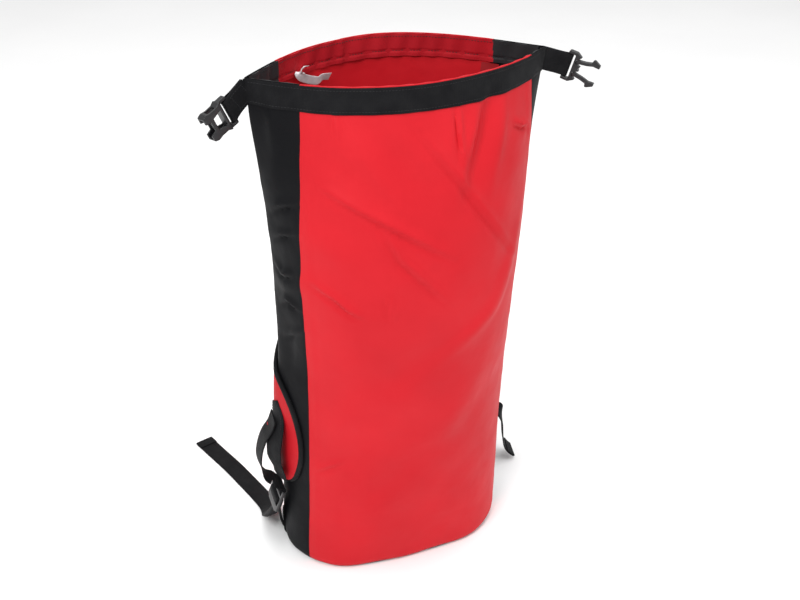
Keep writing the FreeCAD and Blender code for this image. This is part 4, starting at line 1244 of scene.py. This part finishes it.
def make_lower_webbing(mat):
    for side, piece, from_fold in (("left", LEFT_LOCK, LEFT_ANCHOR_FROM_FOLD),
                                   ("right", RIGHT_LOCK, RIGHT_ANCHOR_FROM_FOLD)):
        mirror = side == "right"
        threaded = [tuple(in_piece(piece, x, y)) for x, y in THREADING]
        threaded = smoothed(threaded, 60)
        bar_way = local_axes(piece)[3]
        end, end_way = anchor_place(mirror, from_fold)
        if np.dot(end_way, bar_way) < 0:
            end_way = -end_way
        share = np.linspace(0, 1, 18)[1:, None]
        strand = threaded[-1] + (end - threaded[-1]) * share
        sag = 0.0015 * np.sin(share * math.pi)
        strand = strand + unit(np.cross(bar_way, end - threaded[-1])) * sag
        points = np.concatenate([threaded, strand])
        ways = np.concatenate([np.repeat(bar_way[None], 60, 0),
                               bar_way * (1 - share) + unit(end_way) * share])
        strap = ribbon(side + "_lower_strap", [(points, ways)], mat["webbing"])
        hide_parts(side + "_lower_webbing")
        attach(strap, "bag")


def make_anchors(mat):
    heights = np.linspace(*ANCHOR_HEIGHTS, 12)
    for side, from_fold in (("left", LEFT_ANCHOR_FROM_FOLD), ("right", RIGHT_ANCHOR_FROM_FOLD)):
        if side == "right":
            girths = spread_girths(lambda h: front_arc(h) + from_fold,
                                   lambda h: front_arc(h) + from_fold + WEBBING_WIDTH, 14)
        else:
            girths = spread_girths(lambda h: BAG_GIRTH - from_fold - WEBBING_WIDTH,
                                   lambda h: BAG_GIRTH - from_fold, 14)
        outer, uv = cloth_grid(girths, heights, 0.0003 + WEBBING)
        inner, _ = cloth_grid(girths, heights, 0.0001)
        tab = sheet_object(side + "_anchor_tab", outer, inner, uv, mat["webbing"])
        lines = []
        for height in (0.006, 0.021):
            reach = np.linspace(*girths(height)[[1, -2]], 10)
            lift = relief(reach, np.full_like(reach, height)) + 0.0003 + WEBBING
            points = plain_point(reach, height, lift)
            lines.append((points, plain_point(reach, height, lift + 0.01) - points))
        thread = stitches(side + "_anchor_tab_stitches", lines, mat["thread"])
        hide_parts(side + "_lower_anchor")
        for obj in (tab, thread):
            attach(obj, "bag")


def spline_points(route):
    """Points along the smooth curve that a tail's route controls."""
    curve = bpy.data.curves.new("route", "CURVE")
    curve.dimensions = "3D"
    spline = curve.splines.new("NURBS")
    spline.points.add(len(route) - 1)
    for point, place in zip(spline.points, route):
        point.co = (*place, 1.0)
    spline.order_u = 3
    spline.use_endpoint_u = True
    spline.resolution_u = 10
    holder = bpy.data.objects.new("route", curve)
    bpy.context.scene.collection.objects.link(holder)
    depsgraph = bpy.context.evaluated_depsgraph_get()
    mesh = bpy.data.meshes.new_from_object(holder.evaluated_get(depsgraph))
    points = np.array([tuple(v.co) for v in mesh.vertices])
    bpy.data.objects.remove(holder)
    return points


def along_shares(points):
    walked = np.concatenate([[0.0], np.cumsum(np.linalg.norm(np.diff(points, axis=0), axis=1))])
    return walked / walked[-1], walked[-1]


def make_tail(side, stations, mat):
    route = np.array([p for p, _ in stations])
    points = spline_points(route)
    shares, length = along_shares(points)
    route_shares, _ = along_shares(route)
    ways = np.array([[np.interp(s, route_shares, [w[i] for _, w in stations]) for i in range(3)]
                     for s in shares])
    tail = ribbon(side + "_tail", [(points, ways)], mat["webbing"])
    _, across, normal = frames_along(points, ways)
    up = np.sign(normal[-1][2]) if abs(normal[-1][2]) > 0.5 else 1.0
    back = points[shares > 1 - 0.016 / length][::-1]
    hem_ways = ways[shares > 1 - 0.016 / length][::-1]
    hem_points = back + normal[-1] * up * (WEBBING * 0.98)
    hem = ribbon(side + "_tail_hem", [(hem_points, hem_ways)], mat["webbing"], WEBBING_WIDTH, 0.0013)
    rows = np.linspace(-0.010, 0.010, 8)[:, None]
    middle = points[shares > 1 - 0.011 / length][0] + normal[-1] * up * (WEBBING * 1.48)
    thread = stitches(side + "_tail_stitches",
                      [(middle + across[-1] * rows, np.repeat(normal[-1][None] * up, 8, 0))], mat["thread"])
    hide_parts(side + "_webbing_tail")
    for obj in (tail, hem, thread):
        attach(obj, "bag")


def main():
    make_camera()
    mat = make_materials()
    make_tail("left", LEFT_TAIL, mat)
    make_tail("right", RIGHT_TAIL, mat)
    make_stage()
    make_lights()
    make_panels(mat)
    make_base(mat)
    make_seam_tapes(mat)
    make_facings(mat)
    make_stiffener(mat)
    make_band(mat)
    make_label(mat)
    make_buckles(mat)
    make_buckle_webbing(mat)
    make_pad("left", LEFT_PAD_ROUTE, False, LEFT_SEWN_WEBBING, mat)
    make_pad("right", RIGHT_PAD_ROUTE, True, RIGHT_SEWN_WEBBING, mat)
    make_yoke(mat)
    make_locks(mat)
    make_lock_loops(mat)
    make_lower_webbing(mat)
    make_anchors(mat)


main()
